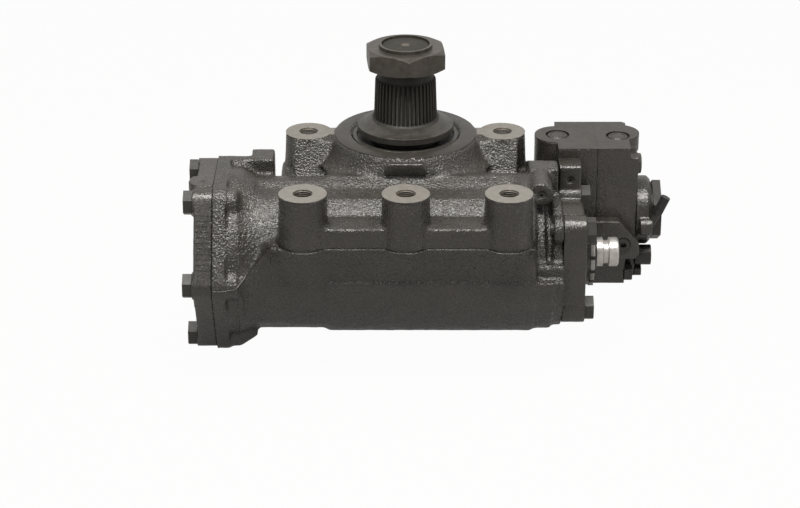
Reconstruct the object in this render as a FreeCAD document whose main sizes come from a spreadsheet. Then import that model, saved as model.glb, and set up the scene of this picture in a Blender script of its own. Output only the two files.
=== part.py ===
import FreeCAD, Part
import math
import os
import re
import Sketcher

# Hydraulic steering gear of a heavy vehicle: a cast barrel holds a rack piston that a ball worm drives,
# and the piston's rack turns a toothed output shaft that stands up between the mounting bosses.
# Millimetres. The origin is where the output shaft's axis crosses the plane of the mounting bosses.
# +X runs along the piston to the input shaft, +Y to the back, +Z up along the output shaft.

SIZES = [
    # Main lines
    ("axis_offset", 70.0, "piston axis in front of the output shaft axis"),
    ("axis_drop", 81.5, "piston axis below the mounting plane"),
    ("running_gap", 0.05, "radial clearance of a running fit"),
    # Barrel
    ("bore_radius", 55.0, "piston bore"),
    ("bore_end", 103.0, "right end of the piston bore"),
    ("cover_joint", 161.3, "end cover joint, left of the output shaft"),
    ("cover_bolt_circle", 70.0, "end cover bolts, at the corners of the hexagonal flange"),
    ("flange_lobe", 13.5, "corner of the left flange round a bolt"),
    ("flange_width", 11.3, "left flange"),
    ("column_radius", 11.5, "column behind the flange round a bolt"),
    ("column_width", 9.0, "columns and shoulder behind the left flange"),
    ("shoulder_radius", 73.0, "shoulder behind the left flange"),
    ("flare_width", 15.0, "flare from the shoulder down to the barrel"),
    ("waist_radius", 65.5, "left part of the barrel"),
    ("waist_end", 69.0, "left end of the full barrel"),
    ("barrel_radius", 68.0, "right part of the barrel"),
    ("barrel_end", 110.0, "right end of the barrel"),
    ("neck_radius", 50.0, "neck on the right of the barrel"),
    ("groove_start", 118.0, "relief behind the valve joint flange"),
    ("groove_end", 124.0, "relief behind the valve joint flange"),
    ("groove_radius", 45.0, "relief behind the valve joint flange"),
    ("collar_radius", 66.0, "lower half collar round the neck"),
    ("collar_lip_radius", 63.0, "lower half collar at the valve joint"),
    ("lug_front", 127.0, "front face of the lug on the neck"),
    ("lug_drop", 70.0, "top of the lug below the mounting plane"),
    ("lug_foot", 96.0, "bottom of the lug below the mounting plane"),
    ("valve_joint", 133.0, "valve housing joint, right of the output shaft"),
    ("valve_bolt_circle", 51.0, "valve housing bolts"),
    ("valve_lobe_radius", 12.6, "lobe round a valve housing bolt"),
    ("spigot_radius", 40.0, "valve housing spigot and its bore"),
    # Output shaft tower
    ("crown_radius", 61.0, "rim round the output shaft"),
    ("crown_height", 2.0, "rim above the mounting plane"),
    ("skirt_radius", 66.0, "foot of the tower on the deck"),
    ("skirt_drop", 20.0, "foot of the tower below the mounting plane"),
    ("tower_radius", 62.0, "tower below the deck"),
    ("sector_room_radius", 50.0, "room for the toothed sector"),
    ("sector_room_gap", 2.0, "room above the sector"),
    ("seal_seat_radius", 46.5, "output seal seat"),
    ("seal_seat_depth", 9.0, "output seal seat below the mounting plane"),
    ("crown_chamfer", 2.2, "chamfer of the output seal seat"),
    ("bearing_seat_radius", 36.0, "needle bearing seats"),
    ("base_flange_radius", 66.0, "flange for the side cover"),
    ("base_flange_thick", 16.0, "flange for the side cover"),
    ("base_joint", 150.0, "side cover joint below the mounting plane"),
    # Deck and mounting bosses
    ("deck_drop", 31.0, "deck below the mounting plane"),
    ("deck_thick", 31.0, "deck"),
    ("deck_back", 31.0, "back edge of the deck"),
    ("boss_pitch", 85.0, "mounting bosses apart along X"),
    ("front_row", 135.0, "front bosses in front of the output shaft"),
    ("rear_row", 7.0, "rear bosses behind the output shaft"),
    ("boss_radius", 20.0, "face of a mounting boss"),
    ("deck_margin", 24.0, "deck round the axis of a rear boss"),
    ("boss_draft", 1.5, "growth of a boss towards its foot"),
    ("boss_foot", 45.0, "foot of a front boss below the mounting plane"),
    ("boss_run_out", 17.0, "run-out of a front boss into the barrel"),
    ("mount_hole_radius", 8.25, "threaded mounting holes"),
    ("mount_hole_depth", 28.0, "threaded mounting holes"),
    ("ear_half_width", 8.0, "milled strip from a rear boss to the rim"),
    ("web_front", 148.0, "front face of the web between the front bosses"),
    ("web_drop", 26.6, "top of the web below the mounting plane"),
    ("web_height", 18.4, "front face of the web"),
    ("gusset_front", 138.0, "front face of the left gusset"),
    ("gusset_end", 138.0, "left end of the left gusset"),
    # Pads on the barrel
    ("left_pad_drop", 9.0, "left rear pad below the mounting plane"),
    ("left_pad_left", 149.5, "left end of the left rear pad"),
    ("left_pad_step", 133.5, "step of the left rear pad"),
    ("left_pad_right", 113.3, "right end of the left rear pad"),
    ("left_pad_front", 38.0, "front edge of the left rear pad"),
    ("left_pad_mid", 27.0, "back edge of its narrow part"),
    ("left_pad_back", 11.0, "back edge of its wide part"),
    ("plug_boss_x", 114.5, "test plug boss on the neck"),
    ("plug_boss_drop", 18.6, "test plug boss below the mounting plane"),
    ("plug_boss_radius", 10.5, "test plug boss on the neck"),
    ("plug_boss_front", 95.0, "front face of the test plug boss"),
    ("plug_block_left", 105.0, "block behind the test plug boss"),
    ("plug_block_right", 131.0, "block behind the test plug boss"),
    ("plug_block_front", 62.0, "block behind the test plug boss"),
    ("plug_block_back", 12.0, "block behind the test plug boss"),
    # Fasteners
    ("bolt_radius", 6.0, "shank of the large bolts"),
    ("bolt_hole_gap", 0.4, "play of a bolt in its hole"),
    ("bolt_head_corner", 10.97, "corner radius of the large bolt heads"),
    ("bolt_head_height", 7.6, "large bolt heads"),
    ("bolt_reach", 14.0, "bolts in the main casting"),
    # End cover
    ("cover_lobe", 11.5, "corner of the end cover round a bolt"),
    ("cover_thick", 15.7, "end cover"),
    ("cover_spigot_length", 5.0, "end cover spigot in the bore"),
    ("cover_spigot_wall", 6.0, "wall of the end cover spigot"),
    ("cover_hollow_depth", 7.0, "hollow inside the end cover"),
    ("cover_seat_height", 1.5, "raised seats of the end cover bolts"),
    ("cover_post_x", 170.5, "upright post on top of the end cover"),
    ("cover_post_front", 87.0, "upright post on top of the end cover"),
    ("cover_post_radius", 12.5, "upright post on top of the end cover"),
    ("cover_post_drop", 8.0, "top of that post below the mounting plane"),
    ("seal_ring_section", 2.6, "section of the static seal rings"),
    ("seal_ring_width", 2.4, "width of the static seal rings"),
    ("stop_screw_drop", 42.6, "stop screw below the piston axis"),
    ("stop_screw_corner", 9.8, "corner radius of the stop screw's hexagon"),
    ("stop_screw_head", 6.0, "hexagon of the stop screw"),
    ("stop_screw_radius", 6.0, "shank of the stop screw"),
    # Piston, rack and sector
    ("tooth_module", 8.0, "rack and sector"),
    ("sector_teeth_full_circle", 10, "teeth that a full circle would have"),
    ("pressure_angle", 28.0, "degrees, rack and sector"),
    ("tip_clearance", 1.5, "root clearance of rack and sector"),
    ("backlash", 0.3, "play between rack and sector at the pitch line"),
    ("sector_height", 62.0, "height of the toothed sector"),
    ("piston_left", 122.0, "left end of the piston at mid stroke"),
    ("piston_right", 72.0, "right end of the piston at mid stroke"),
    ("rack_half_length", 61.0, "flat of the rack each side of the middle"),
    ("ring_from_end", 7.0, "piston ring from the left end"),
    ("ring_width", 4.0, "piston ring"),
    ("ring_thick", 3.4, "piston ring"),
    ("nut_bore_depth", 132.0, "worm bore of the piston"),
    # Worm and balls
    ("worm_lead", 14.0, "axial travel per turn"),
    ("ball_circle_radius", 14.0, "circle of the ball centres"),
    ("ball_radius", 3.0, "balls"),
    ("ball_turns", 2, "turns of balls"),
    ("balls_per_turn", 14, "balls in one turn"),
    ("ball_start", 22.0, "first ball, right of the output shaft"),
    ("worm_radius", 13.2, "worm"),
    ("worm_tip", 24.0, "left end of the worm, left of the output shaft"),
    ("thread_end", 94.0, "right end of the worm thread"),
    ("thrust_radius", 26.0, "thrust flange of the worm"),
    ("thrust_start", 104.0, "left face of the thrust flange"),
    ("thrust_width", 6.0, "thrust flange of the worm"),
    ("sleeve_radius", 23.0, "valve sleeve"),
    ("sleeve_end", 144.0, "right end of the valve sleeve"),
    ("sleeve_floor", 114.0, "floor of the sleeve's bore"),
    ("torsion_bar_radius", 3.6, "torsion bar"),
    ("torsion_head_radius", 5.2, "heads of the torsion bar"),
    ("torsion_head_length", 9.0, "heads of the torsion bar"),
    ("torsion_bar_start", 68.0, "left end of the torsion bar"),
    ("torsion_bar_end", 160.0, "right end of the torsion bar"),
    ("input_radius", 12.65, "input shaft"),
    ("input_end", 183.0, "right end of the input shaft"),
    ("input_chamfer", 1.2, "end of the input shaft"),
    ("clamp_groove_start", 169.5, "clamp bolt groove in the input shaft"),
    ("clamp_groove_width", 5.5, "clamp bolt groove in the input shaft"),
    ("clamp_groove_depth", 2.6, "clamp bolt groove in the input shaft"),
    # Valve housing
    ("valve_end", 152.5, "right face of the valve housing"),
    ("valve_radius", 45.0, "round middle of the valve housing"),
    ("valve_front", 117.0, "flat front of the valve housing"),
    ("spigot_length", 16.0, "spigot of the valve housing"),
    ("bearing_radius", 33.0, "input bearing"),
    ("bearing_width", 13.0, "input bearing"),
    ("sleeve_room", 2.0, "free room round and beyond the sleeve"),
    ("nose_radius", 28.5, "nose round the input shaft"),
    ("nose_end", 161.0, "right end of the nose"),
    ("input_seal_radius", 20.0, "input shaft seal"),
    ("input_seal_width", 7.0, "input shaft seal"),
    ("wiper_radius", 17.0, "wiper on the input shaft"),
    ("wiper_end", 164.0, "right end of the wiper"),
    ("pillar_front", 41.6, "front face of the pillar for the auxiliary valve"),
    ("pillar_drop", 14.0, "top of the pillar below the mounting plane"),
    ("pillar_end", 152.0, "right face of the pillar"),
    # Output shaft
    ("spline_foot_radius", 27.5, "foot of the tapered serration"),
    ("spline_top_radius", 26.0, "top of the tapered serration"),
    ("spline_foot", 17.0, "foot of the serration above the mounting plane"),
    ("spline_top", 60.0, "top of the serration above the mounting plane"),
    ("spline_depth", 1.5, "serration"),
    ("spline_count", 48, "serration"),
    ("journal_radius", 29.0, "upper journal of the output shaft"),
    ("thread_radius", 20.7, "threaded end of the output shaft"),
    ("shaft_top", 82.2, "top of the output shaft"),
    ("lower_journal_radius", 22.0, "lower journal of the output shaft"),
    ("lower_journal_end", 152.0, "bottom of the output shaft"),
    ("nut_corner", 37.5, "corner radius of the shaft nut"),
    ("nut_bottom", 62.8, "underside of the shaft nut"),
    ("nut_top", 80.6, "top of the shaft nut"),
    ("nut_collar_radius", 23.1, "locking collar of the shaft nut"),
    ("nut_collar_height", 3.0, "locking collar of the shaft nut"),
    ("nut_turn", 35.0, "degrees, turn of the nut on the shaft"),
    ("disc_radius", 42.0, "dust disc"),
    ("disc_bottom", 5.0, "underside of the dust disc"),
    ("disc_rim", 6.0, "rim of the dust disc"),
    ("disc_rise", 4.6, "rise of the dust disc to the shaft"),
    ("upper_bearing_foot", 36.0, "bottom of the upper needle bearing below the mounting plane"),
    ("output_seal_width", 6.0, "output shaft seal"),
    # Side cover
    ("side_cover_thick", 7.5, "side cover"),
    ("side_spigot_height", 14.0, "spigot of the side cover"),
    ("side_hub_radius", 36.0, "hub of the side cover"),
    ("side_hub_end", 163.0, "bottom of the side cover's hub"),
    ("lower_seat_radius", 30.0, "lower needle bearing"),
    ("side_bolt_circle", 57.5, "side cover bolts"),
    ("side_bolt_radius", 4.0, "shank of the side cover bolts"),
    ("side_bolt_corner", 7.5, "corner radius of the side cover bolt heads"),
    ("side_bolt_head", 5.5, "side cover bolt heads"),
    ("side_bolt_count", 6, "side cover bolts"),
    ("side_bolt_reach", 12.0, "side cover bolts in the main casting"),
    ("adjuster_radius", 8.0, "adjusting screw"),
    ("adjuster_end", 169.0, "bottom of the adjusting screw"),
    ("adjuster_head_radius", 11.0, "head of the adjusting screw in the shaft's end"),
    ("adjuster_head_top", 145.0, "top of that head below the mounting plane"),
    ("adjuster_head_thick", 4.0, "head of the adjusting screw"),
    ("adjuster_pocket_radius", 12.0, "pocket in the shaft's end for that head"),
    ("locknut_corner", 15.0, "corner radius of the lock nut"),
    ("locknut_height", 5.0, "lock nut"),
    # Auxiliary valve
    ("aux_drop", 6.0, "top of the auxiliary valve below the mounting plane"),
    ("aux_front", 20.3, "front face of the auxiliary valve"),
    ("aux_back", 45.3, "back face of the auxiliary valve, behind the output shaft"),
    ("aux_joint", 167.0, "joint of the two valve bodies"),
    ("aux_right", 203.0, "right face of the outer valve body"),
    ("aux_top_right", 196.0, "right edge of the outer body's top face"),
    ("aux_top_thick", 9.0, "narrow top of the outer body"),
    ("aux_foot", 72.0, "bottom of the valve bodies"),
    ("tongue_radius", 20.2, "rounded tongue round the left port"),
    ("tongue_foot", 44.0, "bottom of the tongue"),
    ("left_port_x", 134.0, "left port"),
    ("left_port_y", 14.5, "left port"),
    ("right_port_x", 187.0, "right port"),
    ("right_port_y", 11.5, "right port"),
    ("port_lobe_radius", 19.0, "rounded corner at the right port"),
    ("port_radius", 10.5, "recess of a port"),
    ("port_recess", 3.0, "recess of a port"),
    ("port_plug_radius", 8.0, "plug in a port"),
    ("port_plug_length", 14.0, "plug in a port"),
    ("port_plug_top", 1.6, "top of a plug below the valve's top face"),
    ("relief_cover_front", 32.3, "front face of the relief valve cover"),
    ("relief_cover_left", 167.0, "left end of the relief valve cover"),
    ("relief_cover_right", 205.5, "right end of the relief valve cover"),
    ("relief_cover_top", 70.0, "top of the relief valve cover"),
    ("relief_cover_foot", 106.0, "bottom of the relief valve cover"),
    ("relief_bevel_x", 18.0, "bevel of the relief valve cover"),
    ("relief_bevel_z", 21.0, "bevel of the relief valve cover"),
    ("relief_plug_x", 191.3, "relief plug"),
    ("relief_plug_drop", 92.0, "relief plug below the mounting plane"),
    ("relief_plug_radius", 5.8, "relief plug"),
    ("relief_plug_head", 1.2, "relief plug proud of its cover"),
    ("spool_axis_y", 7.5, "spool axis of the auxiliary valve"),
    ("spool_axis_drop", 75.0, "spool axis below the mounting plane"),
    ("spool_cap_radius", 30.5, "cap over the spool"),
    ("spool_cap_end", 217.0, "right face of the spool cap"),
    ("spool_cap_bevel", 3.0, "spool cap"),
    ("spool_plug_corner", 28.4, "corner radius of the large hexagon plug"),
    ("spool_plug_end", 225.6, "right face of the large hexagon plug"),
    ("spool_plug_neck", 1.4, "neck under the large hexagon plug"),
    ("valve_foot_left", 166.0, "left end of the lower valve block"),
    ("valve_foot_right", 194.0, "right end of the lower valve block"),
    ("valve_foot_bottom", 132.0, "bottom of the lower valve block"),
    ("small_bolt_corner", 7.5, "corner radius of the small bolt heads"),
    ("small_bolt_head", 6.8, "small bolt heads"),
    ("small_bolt_radius", 4.0, "shank of the small bolts"),
    ("drain_corner", 5.5, "corner radius of the drain screw's head"),
    ("drain_head", 6.0, "drain screw's head"),
    ("suction_plug_radius", 9.0, "round plug below the spool cap"),
    ("suction_plug_end", 218.0, "right end of that plug"),
    ("nipple_turn", 24.0, "degrees, lean of the bleed nipple to the right"),
    ("nipple_radius", 3.0, "bleed nipple"),
    ("nipple_length", 22.0, "bleed nipple"),
    ("dust_cap_radius", 4.2, "dust cap of the bleed nipple"),
    ("dust_cap_length", 17.0, "dust cap of the bleed nipple"),
    ("dust_cap_root", 13.4, "start of the dust cap up the nipple"),
    ("test_plug_radius", 2.7, "small test plugs"),
    ("test_plug_length", 8.0, "small test plugs"),
]

document = FreeCAD.newDocument("SteeringGear")
sheet = document.addObject("Spreadsheet::Sheet", "Dim")
for row, (alias, value, note) in enumerate(SIZES, start=1):
    sheet.set(f"A{row}", note)
    sheet.set(f"B{row}", str(value))
    sheet.setAlias(f"B{row}", alias)
document.recompute()

NAMES = {alias for alias, value, note in SIZES}
ORIGIN = ("0", "0", "0")
PISTON_AXIS = ("0", "-axis_offset", "-axis_drop")
TURNS = {
    "x": FreeCAD.Rotation(FreeCAD.Vector(0, 1, 0), 90),
    "-x": FreeCAD.Rotation(FreeCAD.Vector(0, 1, 0), -90),
    "-y": FreeCAD.Rotation(FreeCAD.Vector(1, 0, 0), 90),
    "z": FreeCAD.Rotation(),
    "-z": FreeCAD.Rotation(FreeCAD.Vector(1, 0, 0), 180),
}
sub_parts = []


def bound(formula):
    """Writes a formula of size names as an expression on the sheet."""
    return re.sub(r"[a-z_]+", lambda word: ("Dim." if word[0] in NAMES else "") + word[0], formula)


def num(formula):
    """Gives the present value of a formula of size names."""
    return float(sheet.evalExpression(bound(formula)))


def bind(thing, path, formula):
    """Binds a property to a formula of size names."""
    thing.setExpression(path, bound(formula))


def place(thing, at, turn=FreeCAD.Rotation(), path="Placement"):
    """Puts a thing at a point given by three formulas."""
    base = FreeCAD.Vector(*[num(formula) for formula in at])
    setattr(thing, path, FreeCAD.Placement(base, turn))
    for letter, formula in zip("xyz", at):
        bind(thing, f"{path}.Base.{letter}", formula)


def new_part(name, at=ORIGIN):
    """Starts a sub-part as a body."""
    body = document.addObject("PartDesign::Body", name)
    body.Label = name
    place(body, at)
    sub_parts.append(body)
    return body


def solid(body, kind, name, at, axis="z", roll=0.0, **lengths):
    """Adds or cuts a primitive that stands on a point along an axis."""
    feature = body.newObject("PartDesign::" + kind, name)
    for key, formula in lengths.items():
        bind(feature, key, formula)
    place(feature, at, TURNS[axis] * FreeCAD.Rotation(FreeCAD.Vector(0, 0, 1), roll))
    return feature


def plane_of(body, role):
    """Finds one of a body's own planes or axes."""
    return next(item for item in body.Origin.OriginFeatures if item.Role == role)


def sketch(body, name, plane, at, outline):
    """Draws a closed outline of formula points on a plane through a point."""
    x, y, z = at
    local = {"xy": (x, y, z), "xz": (x, z, f"-({y})"), "yz": (y, z, x)}[plane]
    drawing = body.newObject("Sketcher::SketchObject", name)
    drawing.AttachmentSupport = (plane_of(body, plane.upper() + "_Plane"), [""])
    drawing.MapMode = "FlatFace"
    place(drawing, local, path="AttachmentOffset")
    corners = [FreeCAD.Vector(num(a), num(b), 0) for a, b in outline]
    count = len(corners)
    for index in range(count):
        drawing.addGeometry(Part.LineSegment(corners[index], corners[(index + 1) % count]))
    for index in range(count):
        drawing.addConstraint(Sketcher.Constraint("Coincident", index, 2, (index + 1) % count, 1))
    for index, (a, b) in enumerate(outline):
        for kind, formula in (("DistanceX", a), ("DistanceY", b)):
            row = drawing.addConstraint(Sketcher.Constraint(kind, -1, 1, index, 1, num(formula)))
            bind(drawing, f"Constraints[{row}]", formula)
    return drawing


def revolve(body, name, axis, at, outline, cut=False):
    """Turns an outline of (along, radius) points about an X or Z line through a point."""
    points = outline if axis == "x" else [(radius, along) for along, radius in outline]
    profile = sketch(body, name + "_outline", "xz", at, points)
    feature = body.newObject("PartDesign::" + ("Groove" if cut else "Revolution"), name)
    feature.Profile = profile
    feature.ReferenceAxis = (profile, ["H_Axis" if axis == "x" else "V_Axis"])
    feature.Angle = 360
    return feature


def extrude(body, name, plane, at, outline, length, cut=False):
    """Pushes an outline along +Z, +X or -Y from its plane, as a pad or a pocket."""
    profile = sketch(body, name + "_outline", plane, at, outline)
    feature = body.newObject("PartDesign::" + ("Pocket" if cut else "Pad"), name)
    feature.Profile = profile
    bind(feature, "Length", length)
    feature.Reversed = cut
    return feature


def ring_of(body, name, original, axis, count):
    """Repeats a feature round one of the body's own axes."""
    pattern = body.newObject("PartDesign::PolarPattern", name)
    pattern.Originals = [original]
    pattern.Axis = (plane_of(body, axis + "_Axis"), [""])
    pattern.Angle = 360
    bind(pattern, "Occurrences", count)
    body.Tip = pattern
    return pattern


def computed_part(name, shape, at=ORIGIN):
    """Starts a sub-part whose shape is worked out below."""
    feature = document.addObject("Part::Feature", name)
    feature.Label = name
    feature.Shape = shape
    place(feature, at)
    sub_parts.append(feature)
    return feature


# Main casting

PITCH_RADIUS = "tooth_module * sector_teeth_full_circle / 2"
SECTOR_TOP = "axis_drop - sector_height / 2"
COVER_ANGLES = (30, 90, 150, 210, 270, 330)
VALVE_ANGLES = (45, 135, 225, 315)
FRONT_BOSSES = ("-boss_pitch", "0", "boss_pitch")
REAR_BOSSES = ("-boss_pitch", "boss_pitch")


def on_circle(radius, angle):
    """Point at an angle from straight up round the piston axis, as formulas in the gear's frame."""
    return f"-axis_offset + {radius} * sin({angle})", f"-axis_drop + {radius} * cos({angle})"


def hexagon(corner_radius, y="0", z="0"):
    """Flat sides of a hexagon with round corners on the end cover's bolts."""
    outline = []
    for angle in COVER_ANGLES:
        for side in (angle - 30, angle + 30):
            outline.append((
                f"{y} + cover_bolt_circle * sin({angle}) + {corner_radius} * sin({side})",
                f"{z} + cover_bolt_circle * cos({angle}) + {corner_radius} * cos({side})",
            ))
    return outline


def main_housing():
    """One casting: barrel, output shaft tower, deck, bosses, pads and the bores inside."""
    body = new_part("main_housing")
    shoulder_end = "-cover_joint + flange_width + column_width"
    revolve(body, "barrel", "x", PISTON_AXIS, [
        ("-cover_joint", "0"),
        ("-cover_joint", "shoulder_radius"),
        (shoulder_end, "shoulder_radius"),
        (f"{shoulder_end} + flare_width", "waist_radius"),
        ("-waist_end", "waist_radius"),
        ("-waist_end + 3", "barrel_radius"),
        ("barrel_end - 3", "barrel_radius"),
        ("barrel_end", "barrel_radius - 3"),
        ("barrel_end", "neck_radius"),
        ("groove_start", "neck_radius"),
        ("groove_start", "groove_radius"),
        ("groove_end", "groove_radius"),
        ("groove_end", "neck_radius"),
        ("valve_joint", "neck_radius"),
        ("valve_joint", "0"),
    ])
    left_flange(body)
    right_neck(body)
    revolve(body, "tower", "z", ORIGIN, [
        ("crown_height", "0"),
        ("crown_height", "crown_radius - 2"),
        ("crown_height - 2", "crown_radius"),
        ("-skirt_drop", "skirt_radius"),
        ("-deck_drop", "skirt_radius"),
        ("-deck_drop - deck_thick", "tower_radius"),
        ("-base_joint + base_flange_thick", "tower_radius"),
        ("-base_joint + base_flange_thick", "base_flange_radius"),
        ("-base_joint", "base_flange_radius"),
        ("-base_joint", "0"),
    ])
    extrude(body, "deck", "xy", ("0", "0", "-deck_drop - deck_thick"), [
        ("-boss_pitch - deck_margin", "-axis_offset"),
        ("boss_pitch + deck_margin", "-axis_offset"),
        ("boss_pitch + deck_margin", "rear_row"),
        ("boss_pitch", "rear_row + deck_margin"),
        ("-boss_pitch", "rear_row + deck_margin"),
        ("-boss_pitch - deck_margin", "rear_row"),
    ], "deck_thick")
    mounting_bosses(body)
    extrude(body, "left_pad", "xy", ("0", "0", "-left_pad_drop - 36"), [
        ("-left_pad_left", "-left_pad_front"),
        ("-left_pad_right", "-left_pad_front"),
        ("-left_pad_right", "-left_pad_back"),
        ("-left_pad_step", "-left_pad_back"),
        ("-left_pad_step", "-left_pad_mid"),
        ("-left_pad_left", "-left_pad_mid"),
    ], "36")
    housing_bores(body)
    return body


def left_flange(body):
    """Hexagonal flange for the end cover, with a column behind each bolt."""
    extrude(body, "left_flange", "yz", ("-cover_joint", "0", "0"),
            hexagon("flange_lobe", "-axis_offset", "-axis_drop"), "flange_width")
    for index, angle in enumerate(COVER_ANGLES, start=1):
        y, z = on_circle("cover_bolt_circle", angle)
        solid(body, "AdditiveCylinder", f"left_corner_{index}", ("-cover_joint", y, z), "x",
              Radius="flange_lobe", Height="flange_width")
        solid(body, "AdditiveCylinder", f"left_column_{index}", ("-cover_joint + flange_width", y, z), "x",
              Radius="column_radius", Height="column_width")
        solid(body, "AdditiveCone", f"left_flare_{index}",
              ("-cover_joint + flange_width + column_width", y, z), "x",
              Radius1="column_radius", Radius2="2", Height="flare_width")


def right_neck(body):
    """Joint flange for the valve housing, half collar below, lug in front and test plug boss on top."""
    for name, start, radius in (("collar", "barrel_end", "collar_radius"),
                                ("collar_lip", "groove_end", "collar_lip_radius")):
        end = "groove_end" if name == "collar" else "valve_joint"
        half = solid(body, "AdditiveCylinder", name, (start, "-axis_offset", "-axis_drop"), "x", -90,
                     Radius=radius, Height=f"{end} - {start}")
        half.Angle = 180
    for index, angle in enumerate(VALVE_ANGLES, start=1):
        y, z = on_circle("valve_bolt_circle", angle)
        solid(body, "AdditiveCylinder", f"right_corner_{index}", ("groove_end", y, z), "x",
              Radius="valve_lobe_radius", Height="valve_joint - groove_end")
    extrude(body, "lug", "yz", ("barrel_end", "0", "0"), [
        ("-axis_offset - groove_radius + 5", "-lug_drop"),
        ("-lug_front + 2", "-lug_drop"),
        ("-lug_front", "-lug_drop - 2"),
        ("-lug_front", "-lug_foot + 8"),
        ("-lug_front + 8", "-lug_foot - 12"),
        ("-axis_offset - groove_radius + 5", "-lug_foot - 12"),
    ], "valve_joint - barrel_end")
    solid(body, "AdditiveCylinder", "plug_boss", ("plug_boss_x", "-plug_block_front", "-plug_boss_drop"), "-y",
          Radius="plug_boss_radius", Height="plug_boss_front - plug_block_front")
    extrude(body, "plug_block", "yz", ("plug_block_left", "0", "0"), [
        ("-plug_block_front", "-plug_boss_drop + plug_boss_radius"),
        ("-plug_block_back - 30", "-plug_boss_drop + plug_boss_radius"),
        ("-plug_block_back", "-plug_boss_drop - 1.5"),
        ("-plug_block_back", "-deck_drop - 20"),
        ("-plug_block_front", "-deck_drop - 20"),
    ], "plug_block_right - plug_block_left")
    solid(body, "SubtractiveCylinder", "plug_boss_hole",
          ("plug_boss_x", "-plug_boss_front + test_plug_length", "-plug_boss_drop"), "-y",
          Radius="test_plug_radius", Height="test_plug_length")


def mounting_bosses(body):
    """Three bosses in front on a web, two at the back on the deck, and the left gusset."""
    for side, x in zip(("left", "right"), REAR_BOSSES):
        inward = "" if side == "left" else "-"
        solid(body, "AdditiveCylinder", side + "_rear_foot", (x, "rear_row", "-deck_drop - deck_thick"),
              Radius="deck_margin", Height="deck_thick")
        solid(body, "AdditiveCone", side + "_rear_boss", (x, "rear_row", "-deck_drop"),
              Radius1="boss_radius + boss_draft", Radius2="boss_radius", Height="deck_drop")
        extrude(body, side + "_ear", "xy", (x, "rear_row", "-deck_drop"), [
            ("0", "-ear_half_width"),
            (f"{inward}(boss_pitch - crown_radius + 5)", "-ear_half_width"),
            (f"{inward}(boss_pitch - crown_radius + 5)", "ear_half_width"),
            ("0", "ear_half_width"),
        ], "deck_drop")
    extrude(body, "web", "yz", ("-boss_pitch", "0", "0"), [
        ("-web_front + 38", "-web_drop - 3.4"),
        ("-web_front", "-web_drop"),
        ("-web_front", "-web_drop - web_height"),
        ("-web_front + 16", "-web_drop - web_height - 17"),
        ("-web_front + 38", "-web_drop - web_height - 17"),
    ], "2 * boss_pitch")
    extrude(body, "gusset", "xz", ("0", "-gusset_front + 38", "0"), [
        ("-boss_pitch", "-web_drop"),
        ("-boss_pitch - 15", "-web_drop - 5.4"),
        ("-gusset_end", "-axis_drop + 2"),
        ("-gusset_end", "-axis_drop - 14"),
        ("-boss_pitch", "-web_drop - web_height - 15"),
    ], "38")
    for index, x in enumerate(FRONT_BOSSES, start=1):
        solid(body, "AdditiveCone", f"front_boss_{index}", (x, "-front_row", "-boss_foot"),
              Radius1="boss_radius + boss_draft", Radius2="boss_radius", Height="boss_foot")
        solid(body, "AdditiveCone", f"front_foot_{index}", (x, "-front_row", "-boss_foot - boss_run_out"),
              Radius1="8", Radius2="boss_radius + boss_draft", Height="boss_run_out")


def housing_bores(body):
    """The bores, seats and threaded holes of the main casting."""
    revolve(body, "piston_bore", "x", PISTON_AXIS, [
        ("-cover_joint", "0"),
        ("-cover_joint", "bore_radius"),
        ("bore_end", "bore_radius"),
        ("bore_end", "spigot_radius"),
        ("valve_joint", "spigot_radius"),
        ("valve_joint", "0"),
    ], cut=True)
    revolve(body, "output_bore", "z", ORIGIN, [
        ("crown_height", "0"),
        ("crown_height", "seal_seat_radius + crown_chamfer"),
        ("crown_height - crown_chamfer", "seal_seat_radius"),
        ("-seal_seat_depth", "seal_seat_radius"),
        ("-seal_seat_depth", "bearing_seat_radius"),
        (f"-({SECTOR_TOP}) + sector_room_gap", "bearing_seat_radius"),
        (f"-({SECTOR_TOP}) + sector_room_gap", "sector_room_radius"),
        ("-base_joint", "sector_room_radius"),
        ("-base_joint", "0"),
    ], cut=True)
    places = [(x, "-front_row") for x in FRONT_BOSSES] + [(x, "rear_row") for x in REAR_BOSSES]
    for index, (x, y) in enumerate(places, start=1):
        solid(body, "SubtractiveCylinder", f"mount_hole_{index}", (x, y, "-mount_hole_depth"),
              Radius="mount_hole_radius", Height="mount_hole_depth")
    for index, angle in enumerate(COVER_ANGLES, start=1):
        y, z = on_circle("cover_bolt_circle", angle)
        solid(body, "SubtractiveCylinder", f"cover_hole_{index}", ("-cover_joint", y, z), "x",
              Radius="bolt_radius + bolt_hole_gap", Height="bolt_reach + 1")
    for index, angle in enumerate(VALVE_ANGLES, start=1):
        y, z = on_circle("valve_bolt_circle", angle)
        solid(body, "SubtractiveCylinder", f"valve_hole_{index}", ("valve_joint", y, z), "-x",
              Radius="bolt_radius + bolt_hole_gap", Height="valve_joint - groove_end + 4")
    for index in range(int(num("side_bolt_count"))):
        angle = 360 / num("side_bolt_count") * index
        solid(body, "SubtractiveCylinder", f"side_hole_{index + 1}",
              (f"side_bolt_circle * cos({angle})", f"side_bolt_circle * sin({angle})", "-base_joint"),
              Radius="side_bolt_radius + bolt_hole_gap", Height="side_bolt_reach + 1")


# Left end cover

COVER_FACE = "cover_joint + cover_thick"
COVER_SEAT = "cover_joint + cover_thick + cover_seat_height"
FIRST_BOLT = ("cover_bolt_circle * sin(30)", "cover_bolt_circle * cos(30)")


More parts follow.
